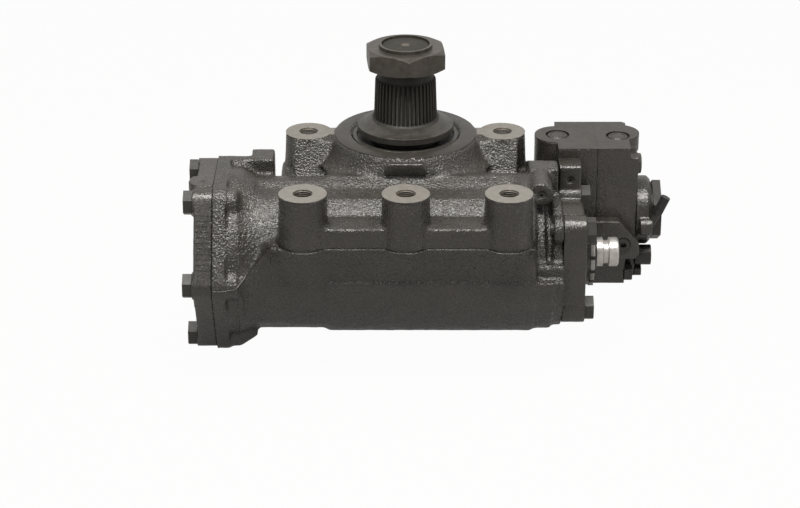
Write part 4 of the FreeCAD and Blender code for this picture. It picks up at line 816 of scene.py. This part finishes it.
@dataclass
class MainCasting:
    """The main housing: cast skin, milled boss faces, rim face and threaded holes."""

    boss_radius: float = 20 * MM
    hole_radius: float = 8.25 * MM
    hole_depth: float = 28 * MM
    hole_room: float = 30 * MM
    thread_pitch: float = 1.6 * MM
    thread_depth: float = 0.75 * MM
    strip_y: float = 7 * MM
    strip_half: float = 8.5 * MM
    rim_level: float = 2 * MM
    joint_margin: float = 0.9 * MM
    left_joint: float = -161.3 * MM
    right_joint: float = 133 * MM
    bore_radius: float = 55.6 * MM
    bore_end: float = 103 * MM
    bead_radius: float = 0.6 * MM
    bead_limit: float = -155.95 * MM
    flare_steps: int = 96
    flare_back: float = 0.8
    # The sizes from here to the valley's are in millimetres
    flare_outline: tuple[Corner, ...] = (
        (56, -20.5), (79, -20.5), (74, -17), (69, -12.5), (65.8, -6.5), (62.2, 1.5), (56, 1.5))
    flare_round: float = 62.2
    web_outline: tuple[Corner, ...] = ((20, -33), (-29, -33), (-12.5, -2.0), (20, -2.0))
    web_ends: tuple[float, float] = (40, 98)
    pad_reach: tuple[float, float] = (-68.4, -58.0)
    pad_outline: tuple[Corner, ...] = (
        (-14.6, -1.2), (14.6, -1.2), (18.6, -6.8), (18.2, -10.2), (16.4, -11.9), (-16.4, -11.9),
        (-18.2, -10.2), (-18.6, -6.8))
    valley_floor: tuple[tuple[float, ...], tuple[float, ...]] = (
        (-96, -92, -84, -76, -71, -67, -64), (-20.9, -20.7, -20.4, -19.9, -17.4, -15.7, -15.2))
    holes: tuple[Corner, ...] = field(default_factory=lambda: tuple(
        mm((-85, -135), (0, -135), (85, -135), (-85, 7), (85, 7))))

    def near_hole(self, point: Vector, reach: float) -> bool:
        """Tells whether a point is nearer to a hole's axis than a distance."""
        return any(math.hypot(point.x - x, point.y - y) < reach for x, y in self.holes)

    def near_boss(self, point: Vector) -> bool:
        """Tells whether a point is on a boss or on the milled strip beside it."""
        return abs(point.y - self.strip_y) < self.strip_half or self.near_hole(point, self.boss_radius + MM)

    def keep(self, point: Vector) -> float:
        """Tells how much of the casting may soften.

        Args:
            point: where.

        Returns:
            0 on the joint faces, the machined faces and round the holes, 1 elsewhere.
        """
        joint = (point.x < self.left_joint + self.joint_margin
                 or point.x > self.right_joint - self.joint_margin)
        face = -0.8 * MM < point.z < 0.6 * MM and self.near_boss(point)
        rim = point.z > self.rim_level - 0.8 * MM
        hole = point.z > -self.hole_room and self.near_hole(point, self.hole_radius + 2.2 * MM)
        return 0.0 if joint or face or rim or hole else 1.0

    def fillers(self, work: Work) -> None:
        """Adds what the voxels melt into the casting: the flare at the tower's foot and the rear boss webs.

        Args:
            work: mesh of the casting. The flare in it is narrower at the back.
        """
        count = len(work.verts)
        spin_outline(work, mm(*self.flare_outline), self.flare_steps, True)
        work.verts.ensure_lookup_table()
        for vertex in work.verts[count:]:
            reach = math.hypot(vertex.co.x, vertex.co.y)
            flare = reach - self.flare_round * MM
            if flare > 0 and vertex.co.y > 0:
                scale = 1 - self.flare_back * flare * vertex.co.y / reach ** 2
                vertex.co.x *= scale
                vertex.co.y *= scale
        bmesh.ops.remove_doubles(work, verts=work.verts, dist=MERGE)
        bmesh.ops.recalc_face_normals(work, faces=work.faces)
        for side in (-1, 1):
            ends = sorted(side * end for end in self.web_ends)
            prism(work, *([(x, y, z) for y, z in self.web_outline] for x in ends))

    def carve(self, points: np.ndarray) -> None:
        """Shapes what the solids leave plain: the valley behind the front bosses, the left corner, the apron.

        Args:
            points: places of the vertices, changed in place.
        """
        x, y, z = (points[:, axis] / MM for axis in range(3))
        axis_y, axis_z = PISTON_Y / MM, PISTON_Z / MM

        # The valley: down to its floor
        reach = np.hypot(y - axis_y, z - axis_z)
        floor = np.interp(y, *self.valley_floor)
        share = share_of((98 - x) / 10, (x + 128) / 8)
        pick = (y > -96) & (y < -64) & (z > floor) & (z < -3) & (reach > 58) & (np.hypot(x, y) > 68)
        z = np.where(pick, z + (floor - z) * share, z)

        # The left corner above the parting line: in towards the piston's axis
        line = np.interp(x, *PARTING_LINE)
        reach = np.hypot(y - axis_y, z - axis_z)
        deep = 65.6 + 7.4 * share_of((-121 - x) / 20) ** 2
        share = share_of((-104 - x) / 3, (x + 141) / 3) * smooth_step((z - line) / 6)
        boss = np.hypot(x + 85, y + 135) <= 22.5
        pick = (x > -141) & (x < -104) & (y < -96) & (z > line) & (reach > deep) & ~boss
        near = np.where(pick, 1 + (deep / reach - 1) * 0.94 * share, 1.0)
        y = axis_y + (y - axis_y) * near
        z = axis_z + (z - axis_z) * near

        # The left corner below it: out to a round barrel
        wide = 67.5 + 15.5 * share_of((-127 - x) / 14) ** 2
        drop = np.sqrt(np.clip(wide ** 2 - (z - axis_z) ** 2, 0, None))
        low = np.where(z > axis_z, np.minimum(-136.2, axis_y - drop), axis_y - drop)
        share = share_of((x + 141) / 3, (-96 - x) / 6, (z + 134) / 12)
        pick = (x > -141) & (x < -96) & (y < -114) & (z <= line) & (z > -134)
        y = np.where(pick, y + (low - y) * 0.96 * share, y)

        # The apron under the front bosses: flared towards its top
        apron = -(136.0 + 11.4 * share_of((z + 80) / 34) ** 1.6)
        share = smooth_step((x + 122) / 20) * share_of((108 - x) / 6)
        pick = (x > -122) & (y < -118) & (z > -80) & (z < -46) & (reach > 60)
        y = np.where(pick, y + (apron - y) * share, y)

        points[:, 1] = y * MM
        points[:, 2] = z * MM

    def clear_bore(self, points: np.ndarray) -> None:
        """Keeps the softened casting out of the piston's way.

        Args:
            points: places of the vertices, changed in place.
        """
        x = points[:, 0].copy()
        across = points[:, 1:] - np.array((PISTON_Y, PISTON_Z))
        reach = np.hypot(across[:, 0], across[:, 1])
        near = (x > self.left_joint) & (reach < self.bore_radius)
        wall = near & (x < self.bore_end - 0.6 * MM)
        points[wall, 1:] += across[wall] * (self.bore_radius / reach[wall] - 1)[:, None]
        floor = near & (x >= self.bore_end - 0.6 * MM) & (x < self.bore_end + 1.2 * MM)
        points[floor, 0] = np.maximum(x[floor], self.bore_end + 0.3 * MM)

    def casting(self) -> Thing:
        """Makes the cast body, a little lower than its milled faces and clear of its threads.

        Returns:
            The casting.
        """
        work = merged_copy("main_housing")
        self.fillers(work)
        thing = CastSkin(1.55 * MM, 9, self.keep).apply("housing_casting", work, self.carve)
        points, _ = vertex_arrays(thing.data)
        for point in points:
            here = Vector(point)
            if abs(here.z) < 0.9 * MM and self.near_boss(here):
                point[2] = -0.3 * MM
            if here.z > self.rim_level - 0.9 * MM:
                point[2] = self.rim_level - 0.3 * MM
            for hole in self.holes:
                reach = math.hypot(here.x - hole[0], here.y - hole[1])
                if ON_AXIS < reach < self.hole_radius + 1.2 * MM and here.z > -self.hole_room:
                    push_out(point, hole, self.hole_radius + 0.9 * MM)
        self.clear_bore(points)
        place_vertices(thing.data, points)
        return thing

    def front_pad(self) -> Thing:
        """Makes the small flat pad that stands on the front of the tower.

        Returns:
            The pad.
        """
        work = bmesh.new()
        prism(work, *([(x, y, z) for x, z in self.pad_outline] for y in self.pad_reach))
        return edge_shade(bevel(from_bmesh("front_pad", work), 1.3 * MM, 3), PAD_CREASE)

    def parting_bead(self, body: Thing) -> Thing:
        """Makes the fine bead of the mould's parting line along the front bosses and down to the flange.

        Args:
            body: the casting, on whose face the bead's left part lies.

        Returns:
            The bead.
        """
        tree = BVHTree.FromPolygons([vertex.co for vertex in body.data.vertices],
                                    [tuple(face.vertices) for face in body.data.polygons])
        path = []
        for x in np.arange(-160.0, -106.5, 1.5):
            z = float(np.interp(x, *PARTING_LINE))
            place = tree.ray_cast(Vector((x * MM, -250 * MM, (z - 0.4) * MM)), Vector((0, 1, 0)))[0]
            path.append(Vector((x * MM, place.y - 0.15 * MM, z * MM)))
        foot = self.boss_radius + 1.3 * MM
        for step in range(143):
            x = (-106 + step * 1.5) * MM
            y = -147.6 * MM
            for centre, row in self.holes[:3]:
                if abs(x - centre) < foot:
                    y = min(y, row - math.sqrt(foot ** 2 - (x - centre) ** 2))
            path.append(Vector((x, max(y - 0.1 * MM, self.bead_limit), -45.4 * MM)))
        return bead("parting_bead", path, self.bead_radius)

    def liner(self, index: int, x: float, y: float) -> Thing:
        """Makes the threaded wall of one mounting hole.

        Args:
            index: number of the hole.
            x: place of its axis.
            y: place of its axis.

        Returns:
            The wall.
        """
        r, z, pitch = self.hole_radius, -self.hole_depth, self.thread_pitch
        outline = [(r + 1.2 * MM, -0.35 * MM), (r + 0.9 * MM, -0.02 * MM), (r, -0.9 * MM)]
        height = -1.2 * MM
        while height - pitch > z + 2 * MM:
            outline += [(r, height), (r - self.thread_depth, height - pitch * 0.35),
                        (r - self.thread_depth, height - pitch * 0.5)]
            height -= pitch
        outline += [(r, height), (r, z), (0, z - 0.2 * MM)]
        return lathe(f"hole_thread_{index}", outline, at(x, y, 0), 48)

    def build(self) -> None:
        """Builds and dresses all of the pieces."""
        body = settle(self.casting(), Finish.CAST, "housing", "cast_body", "main_housing")
        settle(top_plate("milled_boss_faces", "main_housing", 0.0, 0.6 * MM), Finish.MILLED)
        settle(self.parting_bead(body), Finish.CAST_FINE)
        settle(self.front_pad(), Finish.CAST_FINE)
        land = lathe("crown_land", mm((49.0, 1.2), (49.4, 2.0), (61.0, 2.0), (61.5, 1.7), (61.9, 0.6),
                                      (61.0, 0.2)), steps=128)
        settle(land, Finish.PAINT)
        for index, (x, y) in enumerate(self.holes, start=1):
            settle(self.liner(index, x, y), Finish.HOLE)


@dataclass
class EndCover:
    """The left end cover with fine ribs on its front flat."""

    joint: float = -161.3 * MM
    seat: float = -178.5 * MM
    flat: float = 72.1 * MM
    flat_tilt: float = -30
    rib_count: int = 11
    rib_step: float = 4.6 * MM
    rib_size: Point = (11.5 * MM, 0.9 * MM, 0.8 * MM)

    def keep(self, point: Vector) -> float:
        """Tells how much of the cover may soften at a point."""
        return 0.0 if point.x > self.joint - 0.7 * MM or point.x < self.seat + 0.5 * MM else 1.0

    def build(self) -> None:
        """Builds and dresses the cover."""
        skin = CastSkin(1.0 * MM, 7, self.keep, wave=0.15 * MM)
        thing = skin.apply("end_cover_casting", merged_copy("end_cover"))
        settle(thing, Finish.CAST_FINE, "housing", "cast_body", "end_cover")
        first = -(self.rib_count - 1) / 2 * self.rib_step
        ribs = Repeat("cover_ribs", Pattern.ROW, self.rib_count, self.rib_size,
                      PALETTE.get(Finish.CAST_FINE), step=(0, 0, self.rib_step), start=(0, 0, first))
        place = at(-169.5 * MM, PISTON_Y, PISTON_Z) @ Matrix.Rotation(math.radians(self.flat_tilt), 4, "X")
        settle(ribs.build(place @ at(0, -self.flat, 0)), None)
        dimple = lathe("post_dimple", mm((0, -0.4), (1.0, -0.2), (1.9, 0.05), (2.1, -0.6)),
                       at(-170.5 * MM, -88 * MM, -8.05 * MM), 24)
        settle(dimple, Finish.RUBBER)


@dataclass
class AuxValveTop:
    """Crisp machined top of the auxiliary valve with its two ports, and the slotted ring of the nose, whose
    slots are black boxes of painted shade.
    """

    level: float = -6 * MM
    port_radius: float = 10.5 * MM
    plug_radius: float = 8.8 * MM
    ports: tuple[Corner, ...] = ((134 * MM, 14.5 * MM), (187 * MM, 11.5 * MM))
    # Count, radius and size of the black boxes that paint the shade in the ring's slots
    slot_count: int = 14
    slot_radius: float = 27.6 * MM
    slot_size: Point = (2.9 * MM, 3.0 * MM, 4.4 * MM)

    def room(self, points: np.ndarray) -> None:
        """Lowers the cast skin under the machined top and round the ports.

        Args:
            points: places of the skin's vertices, changed in place.
        """
        for point in points:
            if point[2] > self.level - 0.9 * MM:
                point[2] = self.level - 0.35 * MM
            for port in self.ports:
                reach = math.hypot(point[0] - port[0], point[1] - port[1])
                if ON_AXIS < reach < self.port_radius + 1.3 * MM and point[2] > self.level - 4 * MM:
                    if reach > self.plug_radius:
                        push_out(point, port, self.port_radius + MM)
                    else:
                        point[2] = min(point[2], self.level - 3.1 * MM)

    def build(self) -> None:
        """Builds and dresses the pieces."""
        for name in ("inner", "outer"):
            top = top_plate(f"{name}_valve_top", f"aux_valve_{name}_body", self.level, 0.7 * MM)
            settle(top, Finish.PAINT)
        r = self.port_radius
        cup = [(r + 0.8 * MM, -0.5 * MM), (r + 0.25 * MM, 0.04 * MM), (r, -0.2 * MM), (r, -2.9 * MM),
               (7.5 * MM, -2.9 * MM)]
        lip = mm((0, -0.55), (5.6, -0.55), (5.9, -0.9), (6.5, -0.9), (6.8, -0.45), (8.1, -0.45), (8.5, -0.8),
                 (8.5, -2.9))
        for index, (x, y) in enumerate(self.ports, start=1):
            place = at(x, y, self.level)
            settle(lathe(f"port_cup_{index}", cup, place, 56), Finish.BOLT)
            settle(lathe(f"port_plug_lip_{index}", lip, place, 48), Finish.PAINT, "housing", "bolts")
        ring = lathe("slotted_ring", mm((19.0, -4.0), (27.6, -4.0), (28.8, -3.2), (28.8, -0.9), (28.0, 0.15),
                                        (20.2, 0.15)), along_x(161 * MM), 72)
        settle(ring, Finish.RING, "housing", "bright_steel")
        # The slots are black boxes laid over the plain ring: painted shade in its notches
        slot_shade = Repeat("ring_slot_shade", Pattern.RING, self.slot_count, self.slot_size,
                       PALETTE.get(Finish.RUBBER), self.slot_radius)
        settle(slot_shade.build(along_x(159.2 * MM)), None, "housing", "plug")


@dataclass
class SmallCastings:
    """The smaller castings, each with a skin of its own fineness."""

    # Node, piece, size of the voxels and passes of softening
    parts: tuple[tuple[str, str, float, int], ...] = (
        ("valve_housing", "valve_housing_casting", 1.0 * MM, 6),
        ("side_cover", "side_cover_casting", 1.3 * MM, 5),
        ("aux_valve_inner_body", "inner_valve_casting", 1.0 * MM, 4),
        ("aux_valve_outer_body", "outer_valve_casting", 1.0 * MM, 4),
        ("relief_valve_cover", "relief_cover_casting", 0.8 * MM, 4),
        ("spool_cap", "spool_cap_casting", 0.8 * MM, 4),
    )
    aux_top: float = -10 * MM
    body_joint: float = 167 * MM
    margin: float = 0.6 * MM

    def keep(self, node: str) -> Mask:
        """Gives the mask of one casting: flat faces where it meets a neighbour stay put.

        Args:
            node: frame node of the casting.

        Returns:
            The mask.
        """
        _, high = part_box(node)
        masks = {
            "valve_housing": lambda point: point.x < 133.6 * MM,
            "aux_valve_inner_body": lambda point: point.z > self.aux_top or point.x > high.x - self.margin,
            "aux_valve_outer_body": lambda point: point.z > self.aux_top or (
                point.x < self.body_joint + self.margin and point.z > -100 * MM),
        }
        still = masks.get(node, lambda point: False)
        return lambda point: 0.0 if still(point) else 1.0

    def build(self) -> None:
        """Builds and dresses all of them."""
        for node, name, voxel, passes in self.parts:
            skin = CastSkin(voxel, passes, self.keep(node), wave=0.10 * MM)
            thing = skin.apply(name, merged_copy(node), AuxValveTop().room if "aux" in node else None)
            settle(thing, Finish.CAST_FINE, "housing", "cast_body", node)


@dataclass
class OutputShaft:
    """The output shaft with deep tapered serrations, its seal and its centre mark."""

    foot: float = 17 * MM
    top: float = 53.4 * MM
    cad_top: float = 60 * MM
    foot_radius: float = 27.5 * MM
    neck_radius: float = 21.2 * MM
    lean: float = 1.5 / 43
    depth: float = 1.9 * MM
    tooth_count: int = 42
    tooth_root: float = 1.4 * MM
    tooth_chamfer: float = 1.7 * MM
    tip_share: float = 0.66
    root_share: float = 1.12
    mark_level: float = 82.2 * MM

    def outer(self, z: float) -> float:
        """Gives the radius over the teeth at a height."""
        return self.foot_radius - (z - self.foot) * self.lean

    def core(self) -> Thing:
        """Makes the shaft with a plain cone where the teeth stand.

        Returns:
            The shaft.
        """
        work = merged_copy("sector_shaft")
        for vertex in work.verts:
            x, y, z = vertex.co
            reach = math.hypot(x, y)
            tooth = z > self.foot + 0.1 * MM or reach < self.foot_radius + 0.8 * MM
            if self.foot - 0.2 * MM < z < self.cad_top + 0.2 * MM and reach > self.neck_radius and tooth:
                height = self.top if z > self.cad_top - MM else z
                scale = (self.outer(height) - self.depth) / reach
                vertex.co = (x * scale, y * scale, height)
        bmesh.ops.dissolve_degenerate(work, edges=work.edges, dist=MERGE)
        return edge_shade(from_bmesh("output_shaft_core", work), CORE_CREASE)

    def teeth(self) -> Thing:
        """Makes the ring of tapered teeth.

        Returns:
            The teeth.
        """
        length = self.top - self.foot + 0.8 * MM
        middle = (self.top + self.foot - 0.8 * MM) / 2
        root = self.foot_radius - self.tooth_root
        row = Repeat("shaft_teeth", Pattern.RING, self.tooth_count, (2.8 * MM, 2.7 * MM, length),
                     PALETTE.get(Finish.SPLINE), root, levels=3)
        thing = row.build(at(0, 0, middle))
        points, _ = vertex_arrays(thing.data)
        pitch = math.tau / self.tooth_count
        for point in points:
            x, y, z = (float(value) for value in point)
            reach, angle = math.hypot(x, y), math.atan2(y, x)
            out = reach > root
            if abs(z - middle) < 0.25 * length:
                z = self.top - self.tooth_chamfer
            radius = self.outer(z) if out else self.outer(z) - 2.8 * MM
            if out and z > self.top - 0.5 * MM:
                radius -= self.tooth_chamfer
            centre = round(angle / pitch) * pitch
            spread = centre + (angle - centre) * (self.tip_share if out else self.root_share)
            point[:] = (radius * math.cos(spread), radius * math.sin(spread), z)
        place_vertices(thing.data, points)
        bevel(thing, 0.22 * MM).data.shade_flat()
        return thing

    def build(self) -> None:
        """Builds and dresses the pieces."""
        settle(self.core(), Finish.SPLINE, "output", "dark_steel", "sector_shaft")
        settle(self.teeth(), None, "output", "dark_steel")
        inner = self.outer(self.top) - self.depth
        shoulder = lathe("shaft_shoulder", [*mm((20.5, -0.5)), (inner, -0.5 * MM), (inner, 0.2 * MM),
                                            *mm((22.2, 2.2), (21.4, 2.4), (20.5, 2.4))], at(0, 0, self.top))
        settle(shoulder, Finish.SPLINE, "output", "dark_steel")
        mark = lathe("centre_hole_ring", mm((0, 0.02), (1.7, 0.03), (2.2, 0.09), (3.6, 0.07), (3.9, -0.2)),
                     at(0, 0, self.mark_level), 40)
        settle(mark, Finish.HOLE, "output", "dark_steel")
        disc = lathe("dust_disc_dish", mm((29, 5), (41.6, 5), (41.9, 5.3), (41.9, 10.2), (41.5, 10.8),
                                          (39, 11.2), (35.5, 12.6), (30.5, 15.6), (29, 15.6)),
                     steps=128, closed=True)
        settle(disc, Finish.DISC, "output", "dark_steel", "dust_disc")
        # A rounded lip on the dust disc's rim, in a lighter steel than the disc: painted highlight along its
        # top edge
        edge = lathe("disc_edge_highlight", mm((41.4, 10.88), (41.6, 10.86), (41.9, 10.5), (41.95, 10.2),
                                     (41.85, 10.0)), steps=128)
        settle(edge, Finish.NUT, "output", "dark_steel")
        case = lathe("shaft_seal_case", mm((42.6, -9), (46.2, -9), (46.2, 0.4), (45.8, 0.8), (42.9, 0.8),
                                           (42.5, 0.3)), steps=96)
        settle(case, Finish.DISC, "housing", "rubber")
        lip = lathe("shaft_seal_lip", mm((29.4, -8.9), (42.6, -8.9), (42.6, -1.2), (36, -1.6), (31, -2.6),
                                         (29.4, -3.2)), steps=96, closed=True)
        settle(lip, Finish.RUBBER, "housing", "rubber", "output_shaft_seal")


@dataclass
class InputShaft:
    """The serrated input shaft with its clamp groove."""

    radius: float = 12.35 * MM
    tip: float = 183 * MM
    start: float = 161.5 * MM
    groove: tuple[float, float] = (169.5 * MM, 175 * MM)
    ridge_count: int = 60
    ridge: tuple[float, float] = (0.3 * MM, 0.55 * MM)

    def build(self) -> None:
        """Puts the fine ridges of the serration on both lands of the shaft."""
        lands = ((self.start, self.groove[0] - 0.8 * MM), (self.groove[1] + 0.8 * MM, self.tip - 1.3 * MM))
        for index, (first, last) in enumerate(lands, start=1):
            ridges = Repeat(f"input_serration_{index}", Pattern.RING, self.ridge_count,
                            (*self.ridge, last - first), PALETTE.get(Finish.BRIGHT), self.radius)
            thing = ridges.build(along_x((first + last) / 2))
            settle(edge_shade(thing), None, "input", "bright_steel")


@dataclass
class PlainNodes:
    """Nodes that keep their own mesh and get a finish."""

    finishes: dict[Finish, tuple[str, ...]] = field(default_factory=lambda: {
        Finish.BOLT: ("end_cover_bolts", "stop_screw", "valve_housing_bolts", "test_plugs",
                      "side_cover_bolts", "adjusting_screw", "adjuster_lock_nut", "relief_plug",
                      "spool_plug", "bleed_nipple", "valve_foot_bolt", "drain_screw"),
        Finish.PAINT: ("aux_port_plugs",),
        Finish.RUBBER: ("end_cover_seal", "input_shaft_seal", "input_shaft_wiper", "bleed_dust_cap"),
        Finish.PLUG: ("suction_plug", "piston_ring"),
        Finish.BRIGHT: ("rack_piston", "worm_and_sleeve", "recirculating_balls", "torsion_bar", "input_shaft",
                        "input_bearing", "upper_needle_bearing", "lower_needle_bearing"),
        Finish.NUT: ("pitman_nut",),
    })

    def build(self) -> None:
        """Dresses them."""
        for finish, nodes in self.finishes.items():
            for node in nodes:
                PALETTE.coat(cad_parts[node], finish)
        LOG.info("plain nodes dressed: %d", sum(len(nodes) for nodes in self.finishes.values()))


@dataclass
class Studio:
    """Floor, lights, background and camera."""

    floor_level: float = -169.5 * MM
    floor_colour: tuple[float, float, float, float] = (0.32, 0.305, 0.29, 1)
    floor_white: float = 0.97
    camera_place: Point = (-4.8 * MM, -1923.6 * MM, 749.2 * MM)
    camera_pitch: float = 65.8
    lens: float = 106.02
    sensor: float = 36.0
    near_clip: float = 0.05
    shine: float = 0.25
    tint: tuple[float, float, float, float] = (1.0, 0.972, 0.935, 1.0)
    front_glow: float = 0.12
    back_glow: float = 0.62
    middle: Point = (0.02, -0.05, -0.06)

    def pale_share(self, wiring: Wiring, white: float) -> Socket:
        """Tells how white a ray sees the backdrop: to the camera, and fainter in reflections.

        Args:
            wiring: nodes of the backdrop.
            white: share of white that the camera sees.

        Returns:
            The share.
        """
        ray = wiring.add("ShaderNodeLightPath").outputs
        seen = wiring.add("ShaderNodeMath", {0: ray["Is Camera Ray"], 1: white}, operation="MULTIPLY")
        return wiring.add("ShaderNodeMath", {0: ray["Is Glossy Ray"], 1: self.shine, 2: seen.outputs[0]},
                          operation="MULTIPLY_ADD").outputs[0]

    def floor(self) -> None:
        """Lays the pale floor, seen almost white by the camera."""
        work = bmesh.new()
        bmesh.ops.create_grid(work, x_segments=1, y_segments=1, size=4)
        bmesh.ops.translate(work, verts=work.verts, vec=(0, 0, self.floor_level))
        thing = from_bmesh("floor", work)
        graph = Graph("floor")
        graph.feed(graph.shader, {"Base Color": self.floor_colour, "Roughness": 0.9})
        glow = graph.add("ShaderNodeEmission")
        mix = graph.add("ShaderNodeMixShader", {0: self.pale_share(graph, self.floor_white),
                                                1: graph.shader.outputs[0], 2: glow.outputs[0]})
        graph.feed(graph.output, {0: mix.outputs[0]})
        thing.data.materials.append(graph.material)

    def world(self) -> None:
        """Sets a soft grey surround, dimmer at the front, that the camera sees white."""
        world = bpy.data.worlds.new("surround")
        bpy.context.scene.world = world
        world.use_nodes = True
        wiring = Wiring(world.node_tree)
        where = wiring.add("ShaderNodeTexCoord")
        split = wiring.add("ShaderNodeSeparateXYZ", {0: where.outputs["Generated"]})
        depth = wiring.add("ShaderNodeMapRange", {
            "Value": split.outputs["Y"], "From Min": -0.35, "From Max": 0.65,
            "To Min": self.front_glow, "To Max": self.back_glow}, interpolation_type="SMOOTHSTEP")
        soft = wiring.add("ShaderNodeBackground", {0: self.tint, 1: depth.outputs[0]})
        white = wiring.add("ShaderNodeBackground", {0: (1, 1, 1, 1), 1: 1.0})
        mix = wiring.add("ShaderNodeMixShader", {0: self.pale_share(wiring, 1.0), 1: soft.outputs[0],
                                                 2: white.outputs[0]})
        wiring.add("ShaderNodeOutputWorld", {0: mix.outputs[0]})

    def lamp(self, name: str, place: Point, size: Corner, power: float) -> None:
        """Hangs a soft rectangular lamp that looks at the middle of the object.

        Args:
            name: name of the lamp.
            place: where it hangs.
            size: its width and height.
            power: its power in watts.
        """
        data = bpy.data.lights.new(name, "AREA")
        data.shape = "RECTANGLE"
        data.size, data.size_y = size
        data.energy = power
        data.color = self.tint[:3]
        lamp = new_object(name, data)
        lamp.location = place
        lamp.rotation_euler = (Vector(self.middle) - Vector(place)).to_track_quat("-Z", "Y").to_euler()

    def camera(self) -> None:
        """Sets the camera at the photograph's place."""
        data = bpy.data.cameras.new("camera")
        data.sensor_width = self.sensor
        data.lens = self.lens
        data.clip_start = self.near_clip
        camera = new_object("camera", data)
        camera.location = self.camera_place
        camera.rotation_euler = (math.radians(self.camera_pitch), 0, 0)
        bpy.context.scene.camera = camera

    def build(self) -> None:
        """Builds the whole studio."""
        bpy.context.scene.view_settings.view_transform = "Standard"
        self.floor()
        self.world()
        self.lamp("top_lamp", (0.0, -0.38, 1.1), (1.2, 0.42), 24)
        self.lamp("front_lamp", (-0.7, -1.6, 0.9), (0.8, 0.6), 3)
        self.lamp("right_lamp", (1.4, -0.5, 0.5), (0.5, 0.9), 2.5)
        self.camera()


def main() -> None:
    """Builds all sub-assemblies in order."""
    logging.basicConfig(level=logging.INFO, format="%(message)s", force=True)
    for part in (MainCasting(), EndCover(), SmallCastings(), AuxValveTop(), OutputShaft(), InputShaft(),
                 PlainNodes(), Studio()):
        part.build()


if __name__ == "__main__":
    main()
